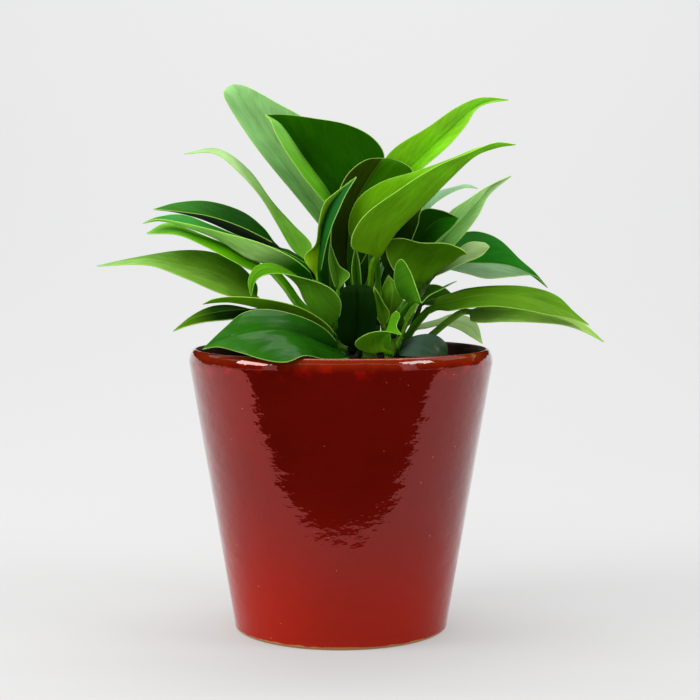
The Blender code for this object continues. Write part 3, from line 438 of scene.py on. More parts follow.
ground = mesh_object("mix_top", mix_points, mix_faces, bark_finish)
crumb_tree = scatter_tree()
bark = scatter("bark_crumbs", ground, crumb_tree, {
    "Density": BARK_PER_SQUARE_METRE, "Smallest": BARK_SIZES[0], "Largest": BARK_SIZES[1],
    "Seed": CRUMB_SEED, "Finish": bark_finish})
perlite = scatter("perlite_crumbs", ground, crumb_tree, {
    "Density": PERLITE_PER_SQUARE_METRE, "Smallest": PERLITE_SIZES[0], "Largest": PERLITE_SIZES[1],
    "Seed": CRUMB_SEED + 1, "Finish": perlite_finish})
bpy.data.objects.remove(ground)
foot_radius = inner_radius(POT_FLOOR) - 2 * POT_FOOT_ROUND
last = 1 + (MIX_RINGS - 1) * MIX_SIDES
mix_points += [(foot_radius * math.cos(t), foot_radius * math.sin(t), POT_FLOOR + GAP) for t in mix_turns]
low = last + MIX_SIDES
mix_points.append((0.0, 0.0, POT_FLOOR + GAP))
for k in range(MIX_SIDES):
    n = (k + 1) % MIX_SIDES
    mix_faces.append((last + k, low + k, low + n, last + n))
    mix_faces.append((low + k, len(mix_points) - 1, low + n))
mix = mesh_object("potting_mix_body", mix_points, mix_faces, bark_finish)
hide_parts("potting_mix")
for piece in (mix, bark, perlite):
    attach(piece, "root")

# The crown stems. Each of the three young plants stands on a short soft stem, ringed by the scars
# of its shed leaves and hidden in its leaf stalks.
CROWNS = {"left": (0.0, 1.0), "middle": (13.0, 9.0), "right": (23.0, -3.0)}
CROWN_FOOT = 96.0
CROWN_TOP = 146.0
CROWN_FOOT_RADIUS = 4.2
CROWN_TOP_RADIUS = 2.4
CROWN_RINGS = 9
CROWN_RING_RISE = 0.25
CROWN_SIDES = 32
SCAR_BULGE = ((0.0, 0.0), (0.4, 0.05), (0.75, 0.6), (0.88, 1.0), (0.97, 0.4))
CROWN_TIP = ((0.8, 0.0), (0.4, 0.8), (0.0, 1.0))
STEM_FLECK = 2.0
STEM_BROWN = "5c8018"
STEM_GREEN = "78b020"
STEM_GREENING = (122.0, 134.0)
STEM_MOTTLE = 8.0


def crown_radius(height):
    share = (height - CROWN_FOOT) / (CROWN_TOP - CROWN_FOOT)
    return CROWN_FOOT_RADIUS + (CROWN_TOP_RADIUS - CROWN_FOOT_RADIUS) * share


def young_stem():
    """A soft green stem: it shines a little and browns towards the mix."""
    finish, tree, surface = new_finish("young_green_stem")
    place = add_node(tree, "ShaderNodeTexCoord", {}).outputs["Object"]
    height = add_node(tree, "ShaderNodeSeparateXYZ", {"Vector": place}).outputs["Z"]
    fleck = add_node(tree, "ShaderNodeTexNoise", {
        "Vector": place, "Scale": 1 / (STEM_FLECK * MM), "Detail": 3.0})
    age = add_node(tree, "ShaderNodeMath", {
        0: fleck, 1: STEM_MOTTLE * MM, 2: height}, operation="MULTIPLY_ADD")
    green = add_node(tree, "ShaderNodeMapRange", {
        "Value": age, "From Min": STEM_GREENING[0] * MM, "From Max": STEM_GREENING[1] * MM})
    colour = add_node(tree, "ShaderNodeMix", {
        "Factor": green, "A": linear(STEM_BROWN), "B": linear(STEM_GREEN)}, data_type="RGBA")
    shader = add_node(tree, "ShaderNodeBsdfPrincipled", {"Base Color": colour, "Roughness": 0.42})
    tree.links.new(shader.outputs[0], surface)
    return finish


stem_finish = young_stem()
for crown, centre in CROWNS.items():
    rise = (CROWN_TOP - CROWN_FOOT) / CROWN_RINGS
    profile = [(0.0, CROWN_FOOT)]
    for ring in range(CROWN_RINGS):
        base = CROWN_FOOT + ring * rise
        for share, out in SCAR_BULGE:
            profile.append((crown_radius(base + share * rise) + out * CROWN_RING_RISE, base + share * rise))
    profile += [(CROWN_TOP_RADIUS * share, CROWN_TOP + up) for share, up in CROWN_TIP]
    stem = turned(f"stem_{crown}", profile, CROWN_SIDES, stem_finish, centre)
    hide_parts(f"crown_stem_{crown}")
    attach(stem, "root")

# The leaves at the back and top. Each leaf is one piece with its stalk, which opens into a long
# leathery blade folded along its rib. Leaf points are (across, depth, up) in millimetres, as they
# line up against the plane through the pot's axis seen from EYE, with depth as how far behind it.
EYE = Vector((4.1, -750.0, 180.0))
CURVE_STEPS = 24
BLADE_STATIONS = 64
STALK_STEP = 3.0
NECK_SHARE = 0.14
BLADE_ARCH = 0.035
RIB_THICKNESS = 0.55
MARGIN_THICKNESS = 0.3
EDGE_HALF_WIDTH = 0.25
HALF_ACROSS = np.array([0.03, 0.08, 0.16, 0.27, 0.40, 0.54, 0.68, 0.80, 0.89, 0.95, 0.985, 1.0])
GROOVE_DEPTH = 0.07
UNLINED = 9.0
GROOVE_WIDTH = 0.7
RIB_RIDGE = 0.3
RIB_RIDGE_WIDTH = 0.7
FULL_GROOVE_WIDTH = 6.0
NECK_STATION = 4
SHORTEST_STALK_STEPS = 6
FIRST_RISE = 2.5
STALK_LEAN = 0.15
PATTERN_STEP = 37.0


def placed(point):
    """A leaf point moved along its line of sight to its depth."""
    across, depth, up = point
    reach = (depth - EYE.y) / -EYE.y
    return Vector((EYE.x + (across - EYE.x) * reach, depth, EYE.z + (up - EYE.z) * reach))


def smooth(points):
    """A fine line through the points, with a rounded turn at each."""
    ends = [2 * points[0] - points[1], *points, 2 * points[-1] - points[-2]]
    line = [points[0]]
    for before, start, end, after in zip(ends, ends[1:], ends[2:], ends[3:]):
        handle = (end - start).length / 3
        first = start + (end - before).normalized() * handle
        second = end - (after - start).normalized() * handle
        line += interpolate_bezier(start, first, second, end, CURVE_STEPS)[1:]
    return np.array(line)


def lengths(line):
    """How far along the line each of its points lies."""
    return np.concatenate([[0.0], np.linalg.norm(np.diff(line, axis=0), axis=1).cumsum()])


def spread(line, shares):
    """The points at these shares of the line's length."""
    gone = lengths(line)
    at = np.asarray(shares) * gone[-1]
    return np.stack([np.interp(at, gone, line[:, axis]) for axis in range(3)], axis=1)


def unit(vectors):
    return vectors / np.maximum(np.linalg.norm(vectors, axis=-1, keepdims=True), 1e-9)


def squared(side, along):
    """The unit vectors nearest to side that are square to along."""
    return unit(side - along * (side * along).sum(-1, keepdims=True))


def blade_grid(leaf):
    """The blade's middle surface: a row of points for each station, from the left edge to the right."""
    base, tip = placed(leaf["base"]), placed(leaf["tip"])
    lines = [smooth([base, *map(placed, leaf[edge]), tip]) for edge in ("left", "rib", "right")]
    # The stations stand closer together near the base and the tip.
    even = np.linspace(0.0, 1.0, BLADE_STATIONS + 1)
    shares = (even + 0.5 - 0.5 * np.cos(np.pi * even)) / 2
    left, rib, right = (spread(line, shares) for line in lines)
    along = unit(np.gradient(rib, axis=0))
    # A station too narrow to show its side takes that of the last wide one before it.
    wide = np.linalg.norm(right - left, axis=1) > 2 * EDGE_HALF_WIDTH
    side = (right - left)[np.maximum.accumulate(np.where(wide, np.arange(len(wide)), wide.argmax()))]
    side = squared(side, along)
    halves = []
    for edge, sign in ((left, -1.0), (right, 1.0)):
        out = edge - rib
        arch = np.cross(out * sign, along) * BLADE_ARCH
        bow = 4 * HALF_ACROSS * (1 - HALF_ACROSS)
        half = rib[:, None] + out[:, None] * HALF_ACROSS[:, None] + arch[:, None] * bow[:, None]
        halves.append(half + side[:, None] * sign * EDGE_HALF_WIDTH * HALF_ACROSS[:, None])
    return np.concatenate([halves[0][:, ::-1], rib[:, None], halves[1]], axis=1), shares


def round_section(centre, side, up, radius, count):
    """A stalk's section: its upper and its lower points, in the blade's order."""
    angles = np.pi * (1 - (np.arange(count) + 0.5) / count)
    flat = side[:, None] * np.cos(angles)[:, None]
    tall = up[:, None] * np.sin(angles)[:, None]
    return centre[:, None] + (flat + tall) * radius, centre[:, None] + (flat - tall) * radius


def leaf_sections(leaf):
    """The leaf's upper and lower points at each station, and what its finish needs to know of each."""
    grid, shares = blade_grid(leaf)
    count = grid.shape[1]
    middle = count // 2
    rib = grid[:, middle]
    along = unit(np.gradient(rib, axis=0))
    normal = unit(np.cross(np.gradient(grid, axis=1), np.gradient(grid, axis=0)))
    from_rib = np.linalg.norm(grid - rib[:, None], axis=2)
    width = np.maximum(from_rib[:, [0]], from_rib[:, [-1]])
    reach = np.where(np.arange(count) < middle, from_rib[:, [0]], from_rib[:, [-1]])
    to_margin = np.maximum(reach - from_rib, 0.0)
    share_out = from_rib / np.maximum(reach, 0.01)
    thick = (RIB_THICKNESS + (MARGIN_THICKNESS - RIB_THICKNESS) * share_out) / 2
    fade = (1 - shares)[:, None]
    ridge = leaf["radius"] * RIB_RIDGE * fade
    ridge = ridge * np.exp(-(from_rib / (RIB_RIDGE_WIDTH * leaf["radius"])) ** 2)
    groove = GROOVE_DEPTH * np.minimum(1.0, width / FULL_GROOVE_WIDTH)
    groove = groove * np.exp(-(from_rib / GROOVE_WIDTH) ** 2)
    upper = grid + normal * (thick - groove)[..., None]
    lower = grid - normal * (thick + ridge)[..., None]
    x, y = CROWNS[leaf["crown"]]
    turn = math.radians(leaf["heading"])
    out = crown_radius(leaf["height"]) + CROWN_RING_RISE + GAP + leaf["radius"]
    start = Vector((x + out * math.cos(turn), y + out * math.sin(turn), leaf["height"]))
    second = start + Vector((STALK_LEAN * math.cos(turn), STALK_LEAN * math.sin(turn), FIRST_RISE))
    # The rib's start steers the end of the stalk, and that last stretch of the line is cut off.
    into_blade = (Vector(rib[0]), Vector(rib[NECK_STATION]))
    line = smooth([start, second, *map(placed, leaf["stalk"]), *into_blade])[:1 - CURVE_STEPS]
    steps = max(SHORTEST_STALK_STEPS, round(lengths(line)[-1] / STALK_STEP))
    spots = spread(line, np.linspace(0.0, 1.0, steps + 1))
    run = unit(np.gradient(spots, axis=0))
    # The stalk's side is carried down from the blade, so that the stalk never twists.
    across = grid[:, -1] - grid[:, 0]
    side = across[NECK_STATION]
    sides = []
    for k in range(steps, -1, -1):
        side = squared(side, run[k])
        sides.insert(0, side)
    sides = np.array(sides)
    stalk = round_section(spots, sides, np.cross(sides, run), leaf["radius"], count)
    blade_side = squared(across[np.maximum(np.arange(len(grid)), NECK_STATION)], along)
    neck = round_section(rib, blade_side, np.cross(blade_side, along), leaf["radius"], count)
    opened = np.minimum(1.0, shares / NECK_SHARE)
    opened = (opened * opened * (3 - 2 * opened))[:, None, None]
    upper = neck[0] + (upper - neck[0]) * opened
    lower = neck[1] + (lower - neck[1]) * opened
    ups = np.concatenate([stalk[0][:-1], upper])
    downs = np.concatenate([stalk[1][:-1], lower])
    stalk_run = lengths(spots) - lengths(spots)[-1]
    y_mm = np.concatenate([stalk_run[:-1], lengths(rib)])[:, None] + np.zeros((1, count))
    sign = np.where(np.arange(count) < middle, -1.0, 1.0)
    round_stalk = np.linspace(-1, 1, count) * leaf["radius"] + np.zeros((steps, 1))
    x_mm = np.concatenate([round_stalk, from_rib * sign])
    unlined = UNLINED * (1 - opened[..., 0])
    margin, ribness = (np.concatenate([np.full((steps, count), UNLINED), away + unlined])
                       for away in (to_margin, from_rib))
    part = np.concatenate([np.zeros(steps), shares])[:, None] + np.zeros((1, count))
    return ups, downs, x_mm, y_mm, margin, ribness, part


def shades(colours, part):
    """The colour at each share of the blade, between the hex colours from base to tip."""
    stops = np.array([linear(colour) for colour in colours.split()])
    at = np.linspace(0.0, 1.0, len(stops))
    return np.stack([np.interp(part, at, stops[:, k]) for k in range(4)], axis=-1)


VEINS_PER_MM = (0.4, 0.08)
VEIN_LEAN = -2.2
VEIN_LIGHTNESS = 0.36
VEIN_RELIEF = 0.8
STREAKS_PER_MM = (0.55, 0.05)
CLOUDS_PER_MM = 0.07
STREAK_SPAN = (0.6, 1.4)
STREAKY_LIGHT = (0.58, 1.08)
RIB_LINE = (0.6, 0.2)
RIB_GREEN = "8db84a"
RIB_STRENGTH = 0.2
MARGIN_LINE = (0.42, 0.12)
MARGIN_GREEN = "bce468"
MARGIN_STRENGTH = 0.68
UNDER_ROUGHNESS = 0.5
FINE_RELIEF = 0.06
WAVES_PER_MM = (0.125, 0.04)
WAVE_DEPTH = 1.1
LIGHT_THROUGH = 0.3
THROUGH_TINT = (1.15, 1.3, 0.3)


def waxy_leaf(name, shine, polish):
    """A leathery leaf under its wax: even green with faint side veins and streaks, a pale thin margin
    that lets light through, and a soft sheen that is duller underneath."""
    finish, tree, surface = new_finish(name)
    tint = add_node(tree, "ShaderNodeAttribute", {}, attribute_name="tint").outputs["Color"]
    spot = add_node(tree, "ShaderNodeAttribute", {}, attribute_name="spot").outputs["Vector"]
    facts = add_node(tree, "ShaderNodeAttribute", {}, attribute_name="edges").outputs["Vector"]
    edges = add_node(tree, "ShaderNodeSeparateXYZ", {"Vector": facts}).outputs
    parts = add_node(tree, "ShaderNodeSeparateXYZ", {"Vector": spot}).outputs
    out = add_node(tree, "ShaderNodeMath", {0: parts["X"]}, operation="ABSOLUTE")
    # Side veins leave the rib every 2.5 mm or so and sweep steeply to the tip, none quite like the next.
    lean = add_node(tree, "ShaderNodeMath", {0: out, 1: VEIN_LEAN, 2: parts["Y"]}, operation="MULTIPLY_ADD")
    swept = add_node(tree, "ShaderNodeCombineXYZ", {"X": lean, "Y": out, "Z": parts["Z"]})
    narrowed = add_node(tree, "ShaderNodeVectorMath", {
        0: swept, 1: (*VEINS_PER_MM, 1.0)}, operation="MULTIPLY")
    vein = add_node(tree, "ShaderNodeTexNoise", {
        "Vector": narrowed, "Scale": 1.0, "Detail": 2.0, "Roughness": 0.5})
    long_way = add_node(tree, "ShaderNodeVectorMath", {
        0: spot, 1: (*STREAKS_PER_MM, 1.0)}, operation="MULTIPLY")
    streak = add_node(tree, "ShaderNodeTexNoise", {
        "Vector": long_way, "Scale": 1.0, "Detail": 4.0, "Roughness": 0.6})
    cloud = add_node(tree, "ShaderNodeTexNoise", {"Vector": spot, "Scale": CLOUDS_PER_MM, "Detail": 2.0})
    light = add_node(tree, "ShaderNodeMath", {0: streak, 1: cloud}, operation="ADD")
    value = add_node(tree, "ShaderNodeMapRange", {
        "Value": light, "From Min": STREAK_SPAN[0], "From Max": STREAK_SPAN[1],
        "To Min": STREAKY_LIGHT[0], "To Max": STREAKY_LIGHT[1]})
    veined = add_node(tree, "ShaderNodeMath", {
        0: vein, 1: VEIN_LIGHTNESS, 2: value}, operation="MULTIPLY_ADD")
    shade = add_node(tree, "ShaderNodeVectorMath", {0: tint, "Scale": veined}, operation="SCALE")
    rib = add_node(tree, "ShaderNodeMapRange", {
        "Value": edges["Y"], "From Min": RIB_LINE[0], "From Max": RIB_LINE[1], "To Max": RIB_STRENGTH})
    ribbed = add_node(tree, "ShaderNodeMix", {
        "Factor": rib, "A": shade, "B": linear(RIB_GREEN)}, data_type="RGBA")
    margin = add_node(tree, "ShaderNodeMapRange", {
        "Value": edges["X"], "From Min": MARGIN_LINE[0], "From Max": MARGIN_LINE[1],
        "To Max": MARGIN_STRENGTH})
    colour = add_node(tree, "ShaderNodeMix", {
        "Factor": margin, "A": ribbed, "B": linear(MARGIN_GREEN)}, data_type="RGBA")
    dull = add_node(tree, "ShaderNodeMapRange", {
        "Value": edges["Z"], "From Min": 0.0, "From Max": 1.0, "To Min": UNDER_ROUGHNESS, "To Max": polish})
    relief = add_node(tree, "ShaderNodeMath", {0: vein, 1: VEIN_RELIEF, 2: streak}, operation="MULTIPLY_ADD")
    fine = add_node(tree, "ShaderNodeBump", {
        "Height": relief, "Strength": 0.5, "Distance": FINE_RELIEF * MM})
    # The blade waves gently, about 8 mm from crest to crest across it and 25 mm along it.
    gently = add_node(tree, "ShaderNodeVectorMath", {
        0: spot, 1: (*WAVES_PER_MM, 1.0)}, operation="MULTIPLY")
    swell = add_node(tree, "ShaderNodeTexNoise", {"Vector": gently, "Scale": 1.0, "Detail": 1.0})
    bump = add_node(tree, "ShaderNodeBump", {
        "Height": swell, "Strength": 1.0, "Distance": WAVE_DEPTH * MM, "Normal": fine})
    wax = add_node(tree, "ShaderNodeBsdfPrincipled", {
        "Base Color": colour, "Roughness": dull, "IOR": 1.45, "Specular IOR Level": shine, "Normal": bump})
    glow = add_node(tree, "ShaderNodeVectorMath", {0: colour, 1: THROUGH_TINT}, operation="MULTIPLY")
    through = add_node(tree, "ShaderNodeBsdfTranslucent", {"Color": glow})
    both = add_node(tree, "ShaderNodeMixShader", {0: LIGHT_THROUGH, 1: wax, 2: through})
    tree.links.new(both.outputs[0], surface)
    return finish


satin_leaf = waxy_leaf("satin_philodendron_leaf", shine=0.008, polish=0.3)
glossy_leaf = waxy_leaf("glossy_philodendron_leaf", shine=0.07, polish=0.18)
leaves_grown = []


def grow(name, greens, finish=satin_leaf, pale_rib=True, pale_margin=True, **leaf):
    """One leaf in its node's place. Its greens, each from base to tip, are those of its left half, its right
    half and its under side, or of its top and its under side, or of all of it. They hold painted light and
    shade: halves facing the lamps painted lighter, halves and leaves in shade darker, sheens paler."""
    ups, downs, x_mm, y_mm, margin, ribness, part = leaf_sections(leaf)
    rows, count = ups.shape[:2]
    points = np.concatenate([ups.reshape(-1, 3), downs.reshape(-1, 3)])
    corner = np.arange(rows * count).reshape(rows, count)
    under = corner + rows * count

    def quads(a, b, c, d):
        return np.stack([a, b, c, d], axis=-1).reshape(-1, 4)

    faces = np.concatenate([
        quads(corner[:-1, :-1], corner[:-1, 1:], corner[1:, 1:], corner[1:, :-1]),
        quads(under[:-1, 1:], under[:-1, :-1], under[1:, :-1], under[1:, 1:]),
        quads(corner[1:, 0], under[1:, 0], under[:-1, 0], corner[:-1, 0]),
        quads(corner[:-1, -1], under[:-1, -1], under[1:, -1], corner[1:, -1]),
        quads(corner[0, 1:], corner[0, :-1], under[0, :-1], under[0, 1:]),
        quads(corner[-1, :-1], corner[-1, 1:], under[-1, 1:], under[-1, :-1]),
    ])
    obj = mesh_object(f"{name}_blade", points, faces.tolist(), finish)
    own = PATTERN_STEP * len(leaves_grown)
    leaves_grown.append(name)
    spot = np.stack([x_mm, y_mm, np.full_like(x_mm, own)], axis=-1).reshape(-1, 3)
    margin = margin if pale_margin else margin + UNLINED
    ribness = ribness if pale_rib else ribness + UNLINED
    edges = [np.stack([margin, ribness, np.full_like(margin, is_top)], axis=-1).reshape(-1, 3)
             for is_top in (1.0, 0.0)]
    left, right, under_side = greens if len(greens) == 3 else (greens[0], greens[0], greens[-1])
    on_left = (np.arange(count) <= count // 2)[None, :, None]
    top = np.where(on_left, shades(left, part), shades(right, part))
    tints = [top.reshape(-1, 4), shades(under_side, part).reshape(-1, 4)]
    for label, kind, key, halves in (
        ("spot", "FLOAT_VECTOR", "vector", [spot, spot]),
        ("edges", "FLOAT_VECTOR", "vector", edges),
        ("tint", "FLOAT_COLOR", "color", tints),
    ):
        values = np.concatenate(halves).astype(np.float32).ravel()
        obj.data.attributes.new(label, kind, "POINT").data.foreach_set(key, values)
    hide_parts(name)
    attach(obj, "root")


# Painted sheen: its pale sage greens stand for the bright backdrop shining on its top.
grow(
    "leaf_back_tall", greens=("7cb45c 88bc74 90c47c", "70a04c 80b068 8cbc78", "80b05c"),
    crown="middle", heading=115, height=131, radius=1.4,
    stalk=[(6, 22, 150)], base=(-1, 26, 174),
    left=[(-8, 28, 182), (-19, 33, 195.5), (-37, 40, 217.5), (-49.7, 47, 236.3), (-52.8, 50, 243.5)],
    rib=[(-6, 34, 184), (-20, 41, 204), (-36, 47, 226), (-48, 55, 246)],
    right=[(2, 30, 186), (-1, 36, 208), (-14, 42, 229.3), (-30, 47, 239.3), (-42.5, 52, 246)],
    tip=(-48.5, 62, 247),
)
# Painted light and shade: its left strip is painted bright where lit, its right half dark where shaded.
grow(
    "leaf_top_broad", greens=("489808 64a828 88c860", "1e5800 1a4c00 246000", "609830"),
    crown="middle", heading=150, height=132, radius=1.4,
    stalk=[(4, 11, 160)], base=(0, 14, 186),
    left=[(-8, 8, 195), (-20, 8, 210), (-29, 13, 224.5), (-31.5, 18, 230.5)],
    rib=[(-4, 19, 196), (-17, 27, 214), (-27, 29, 229)],
    right=[(10, 18, 197), (19.5, 20, 213), (15, 24, 222.5), (3, 27, 229), (-13, 29, 232),
           (-25, 29, 233.5)],
    tip=(-34, 25, 233.5),
)
grow(
    "leaf_left_ribbon", greens=("68b020 84bc48 a8c888 a8cc90",),
    crown="left", heading=135, height=136, radius=1.3,
    stalk=[(-7, 7, 152)], base=(-16, 12, 166),
    left=[(-22.8, 17, 174), (-29, 15, 184.5), (-36, 12, 196), (-45.5, 12, 207), (-57, 14, 216)],
    rib=[(-19, 17, 173), (-26, 17, 186), (-38, 18, 202), (-54, 18, 216.6)],
    right=[(-12.5, 16, 173), (-22.5, 22, 184.7), (-31, 24, 194.2), (-42.3, 25, 209.3), (-56, 23, 218.2)],
    tip=(-71, 18, 216),
)
grow(
    "leaf_right_lance",
    greens=("507c08 588c08 609c0c 78b41c 9cd044",
            "549008 6cb414 84cc20 a0e040 b8f070",
            "547c08 70a818 80b828"),
    crown="middle", heading=275, height=128, radius=1.4,
    stalk=[(13.5, -4, 145), (13.5, -9, 157)], base=(14.5, -13, 167),
    left=[(10, -8, 171), (3.5, -4, 181), (7, -3, 194.5), (18, -3, 203), (33, -4, 207.8), (50, -8, 213.9),
          (64, -12, 219.3)],
    rib=[(19, -14, 172.5), (25.5, -16, 181.5), (36.5, -16, 192), (49.8, -16, 205.4), (61, -15, 215.3),
         (71, -14, 219)],
    right=[(9, -19, 169.5), (4.5, -25, 176), (10, -28, 187.5), (25, -28, 199), (42, -26, 209.7),
           (58, -22, 216.5), (70, -18, 221)],
    tip=(79, -14, 220.2),
)
grow(
    "leaf_right_top",
    greens=("4c8c10 90d420 acdc4c",
            "48840c 7ccc18 94dc2c acdc58",
            "4c840c 7cc02c 8cd434"),
    crown="middle", heading=42, height=132, radius=1.4,
    stalk=[(17, 18, 155)], base=(15, 25, 188),
    left=[(17, 24, 206), (23, 25, 217.2), (40, 26, 228.2), (52, 26, 236.5), (63, 25, 241)],
    rib=[(20, 29, 198), (33, 31, 211.5), (47, 31, 225), (60, 29, 236.5), (69, 27, 240.4)],
    right=[(23, 26, 196), (35, 26, 208), (48, 27, 219.3), (56, 27, 228.3), (62.5, 26, 237.3)],
    tip=(75.5, 27, 240.2),
)
grow(
    "leaf_back_right_small", greens=("70a068 8cb48c 98bc98", "78a870 88b48c 94bc98", "7ca878"),
    crown="middle", heading=78, height=133, radius=1.2,
    stalk=[(15, 19, 150), (18, 23, 163), (24, 30, 176)], base=(31, 42, 184),
    left=[(37, 52, 193), (44, 54, 198.8), (51, 53, 200.9), (57, 50, 202.2)],
    rib=[(39.5, 44, 192), (47, 46, 198), (55.5, 47, 201.5)],
    right=[(37.5, 38, 188.5), (42, 38, 193.3), (49, 40, 198), (56, 43, 200.7)],
    tip=(62, 48, 200.5),
)
# Painted sheen: its pale silvery greens stand for a sheen on its top.
grow(
    "leaf_right_striped", greens=("48881c a8d488 d4e8bc", "509410 a0d080 c4dcb0", "94bc78"),
    crown="right", heading=82, height=132, radius=1.3,
    stalk=[(31, 9, 150)], base=(40, 17, 168),
    left=[(42, 14, 177), (49, 14, 189), (58, 18, 195.5), (66, 22, 200.8)],
    rib=[(46, 20, 177), (55, 23, 186.5), (63, 25, 195.5), (68.7, 26, 202)],
    right=[(48, 16, 172), (56, 17, 180), (62.4, 20, 188.8), (67, 23, 197.5)],
    tip=(77, 27, 206),
)

# The leaves to the left. They all grow from the left crown and arch out over the rim. Their blades are
# leathery but thin, so light shines through the ones that face it.
grow(
    "leaf_left_upper", greens=("205414 2c6818 50983c", "0c3408 184c0c 40882c", "0c2c04"),
    crown="left", heading=168, height=137, radius=1.3,
    stalk=[(-7, 2, 150), (-15, 0, 165)], base=(-24, 1, 171.5),
    left=[(-29, -1, 174.8), (-45, 1, 183), (-60, 3, 188), (-75, 5, 190.2)],
    rib=[(-33, 7, 174.8), (-47, 12, 179.8), (-62, 12, 186.3), (-75, 11, 189.8)],
    right=[(-30, 11, 175.8), (-35, 16, 182.4), (-45, 26, 190), (-60, 24, 194.5), (-74, 18, 194)],
    tip=(-85, 12, 191),
)
grow(
    "leaf_left_long",
    greens=("50a00c a8e878 c0ee8c",
            "1c5800 206004 48a048",
            "1c5000 286404 b4d088 b4d088 a8cc78 90c050"),
    crown="left", heading=238, height=136, radius=1.3,
    stalk=[(-5, -5, 147)], base=(-10, -8, 157),
    left=[(-13, -17, 161.5), (-22, -22, 169), (-36, -20, 175.5), (-52, -18, 180), (-70, -15, 184.5),
          (-83, -12, 186.5)],
    rib=[(-17, -12, 160), (-30, -12, 165.5), (-42, -11, 169), (-55, -10, 177), (-68, -9, 182.3),
         (-82, -9, 185.8)],
    right=[(-12, -6, 163), (-24, -3, 171), (-44, -1, 178), (-60, -1, 184.3), (-72, -3, 188.5),
           (-83, -6, 187.5)],
    tip=(-90, -8, 184.7),
)
grow(
    "leaf_left_bright",
    greens=("5ca80c 68b410 74b43c",
            "74c818 80d028 7cb848",
            "8cc444 60b018 78bc30 80b850"),
    crown="left", heading=222, height=131, radius=2.1,
    stalk=[(-8, -8, 138.5), (-18.7, -9, 147.5), (-25, -9, 156.2)], base=(-31, -8, 163),
    left=[(-40, -15, 163.2), (-50, -18, 168), (-62, -17, 174.3), (-74, -14, 179.3)],
    rib=[(-42, -8, 168), (-52, -6, 174), (-65, -5, 179), (-77, -6, 182.5)],
    right=[(-38, -1, 167), (-48, 5, 173), (-60, 7, 178), (-72, 4, 183), (-80, -1, 184.5)],
    tip=(-88.3, -6, 180),
)
grow(
    "leaf_left_far", greens=("5c8c10 80b040 88bc60", "4c7c08 689828 7cb054", "649830"),
    crown="left", heading=184, height=124, radius=1.5,
    stalk=[(-12, 0, 136.5), (-24, -4, 145)], base=(-36.5, -8, 148.6),
    left=[(-44, -15, 150), (-56, -18, 153.4), (-72, -16, 160.3), (-88, -11, 165.7)],
    rib=[(-44, -8, 154.5), (-58, -6, 162), (-74, -5, 166), (-90, -5, 168.5)],
    right=[(-36.3, -2, 152.5), (-41, 0, 160.5), (-48, 1, 166.8), (-58, 2, 171.3), (-72, 1, 172.3),
           (-90, -1, 169.7)],
    tip=(-111, -6, 165.3),
)
grow(
    "leaf_left_slim", greens=("689c18 84b018 acdc3c", "6c9c18 80b420 acdc3c", "649814"),
    crown="left", heading=250, height=123, radius=1.3,
    stalk=[], base=(-3, -15, 129.5),
    left=[(-3, -22, 134.5), (-9, -27, 140.8), (-20, -33, 146.8), (-35, -36, 150.3), (-50, -35, 151.3),
          (-58, -32, 150.3)],
    rib=[(-6, -17, 131.5), (-13, -21, 136.5), (-24, -25, 141.5), (-38, -28, 146.5), (-50, -29, 148.9),
         (-58, -29, 148.7)],
    right=[(-8, -12, 132.5), (-15, -13, 137.5), (-26, -16, 143.5), (-40, -20, 148.5), (-50, -23, 150.5),
           (-58, -26, 149.8)],
    tip=(-63, -29, 148),
)
grow(
    "leaf_left_small", greens=("0a2400 0e2c00 5c9010", "103800 183c00 64a010", "345410"),
    crown="left", heading=218, height=123, radius=1.2,
    stalk=[(-14, -9, 133), (-30, -12, 142.5)], base=(-38, -15, 144.8),
    left=[(-43, -26, 142), (-52, -28, 140.8), (-62, -25, 139.8), (-70, -21, 138)],
    rib=[(-46, -19, 145.2), (-57, -18, 144), (-68, -17, 141)],
    right=[(-44, -13, 146.3), (-52, -10, 147.5), (-60, -10, 146.5), (-68, -13, 142.5)],
    tip=(-76.5, -18, 135.6),
)

# The leaves in front. They grow from the left and the right crown and lean out over the rim. The
# youngest are still curled or half folded, and the oldest lie close over the glaze.
grow(
    "leaf_front_curled", greens=("5c9810 508c10 40800c", "70b01c 60a418 50940c", "5c9820"),
    crown="left", heading=268, height=132, radius=1.4,
    stalk=[], base=(-3, -14, 137),
    left=[(-0.5, -22, 143), (-0.5, -28, 150), (-6, -31, 155.8), (-18, -31, 160), (-30, -29, 162),
          (-38, -27, 159.5)],
    rib=[(-9, -18, 141), (-16, -21, 149), (-20, -22, 157), (-27, -23, 162.5), (-35, -23, 164),
         (-40, -22.5, 160)],
    right=[(-8, -14, 143), (-12, -15, 153), (-20, -17, 161), (-30, -20, 166), (-38, -20, 165.3),
           (-42, -21, 159)],
    tip=(-41, -22, 151.5),
)
grow(
    "leaf_front_rim", greens=("184c08 205a0c 387820", "14480a 205a0c 307014", "2c6410"),
    finish=glossy_leaf, pale_rib=False,
    crown="left", heading=285, height=123, radius=1.5,
    stalk=[], base=(1, -16, 126),
    left=[(4, -28, 123.5), (-8, -50, 123), (-17, -64, 124.5), (-25, -70, 121.6), (-34, -68, 122.4),
          (-46, -60, 126), (-56, -50, 128.5)],
    rib=[(-6, -28, 129), (-18, -42, 134), (-32, -51, 136), (-46, -53, 134), (-56, -47, 131)],
    right=[(-2, -25, 131), (-8, -32, 137), (-18, -38, 142), (-32, -41, 145.3), (-44, -44, 144),
           (-53, -44, 137)],
    tip=(-63, -40, 127.5),
)
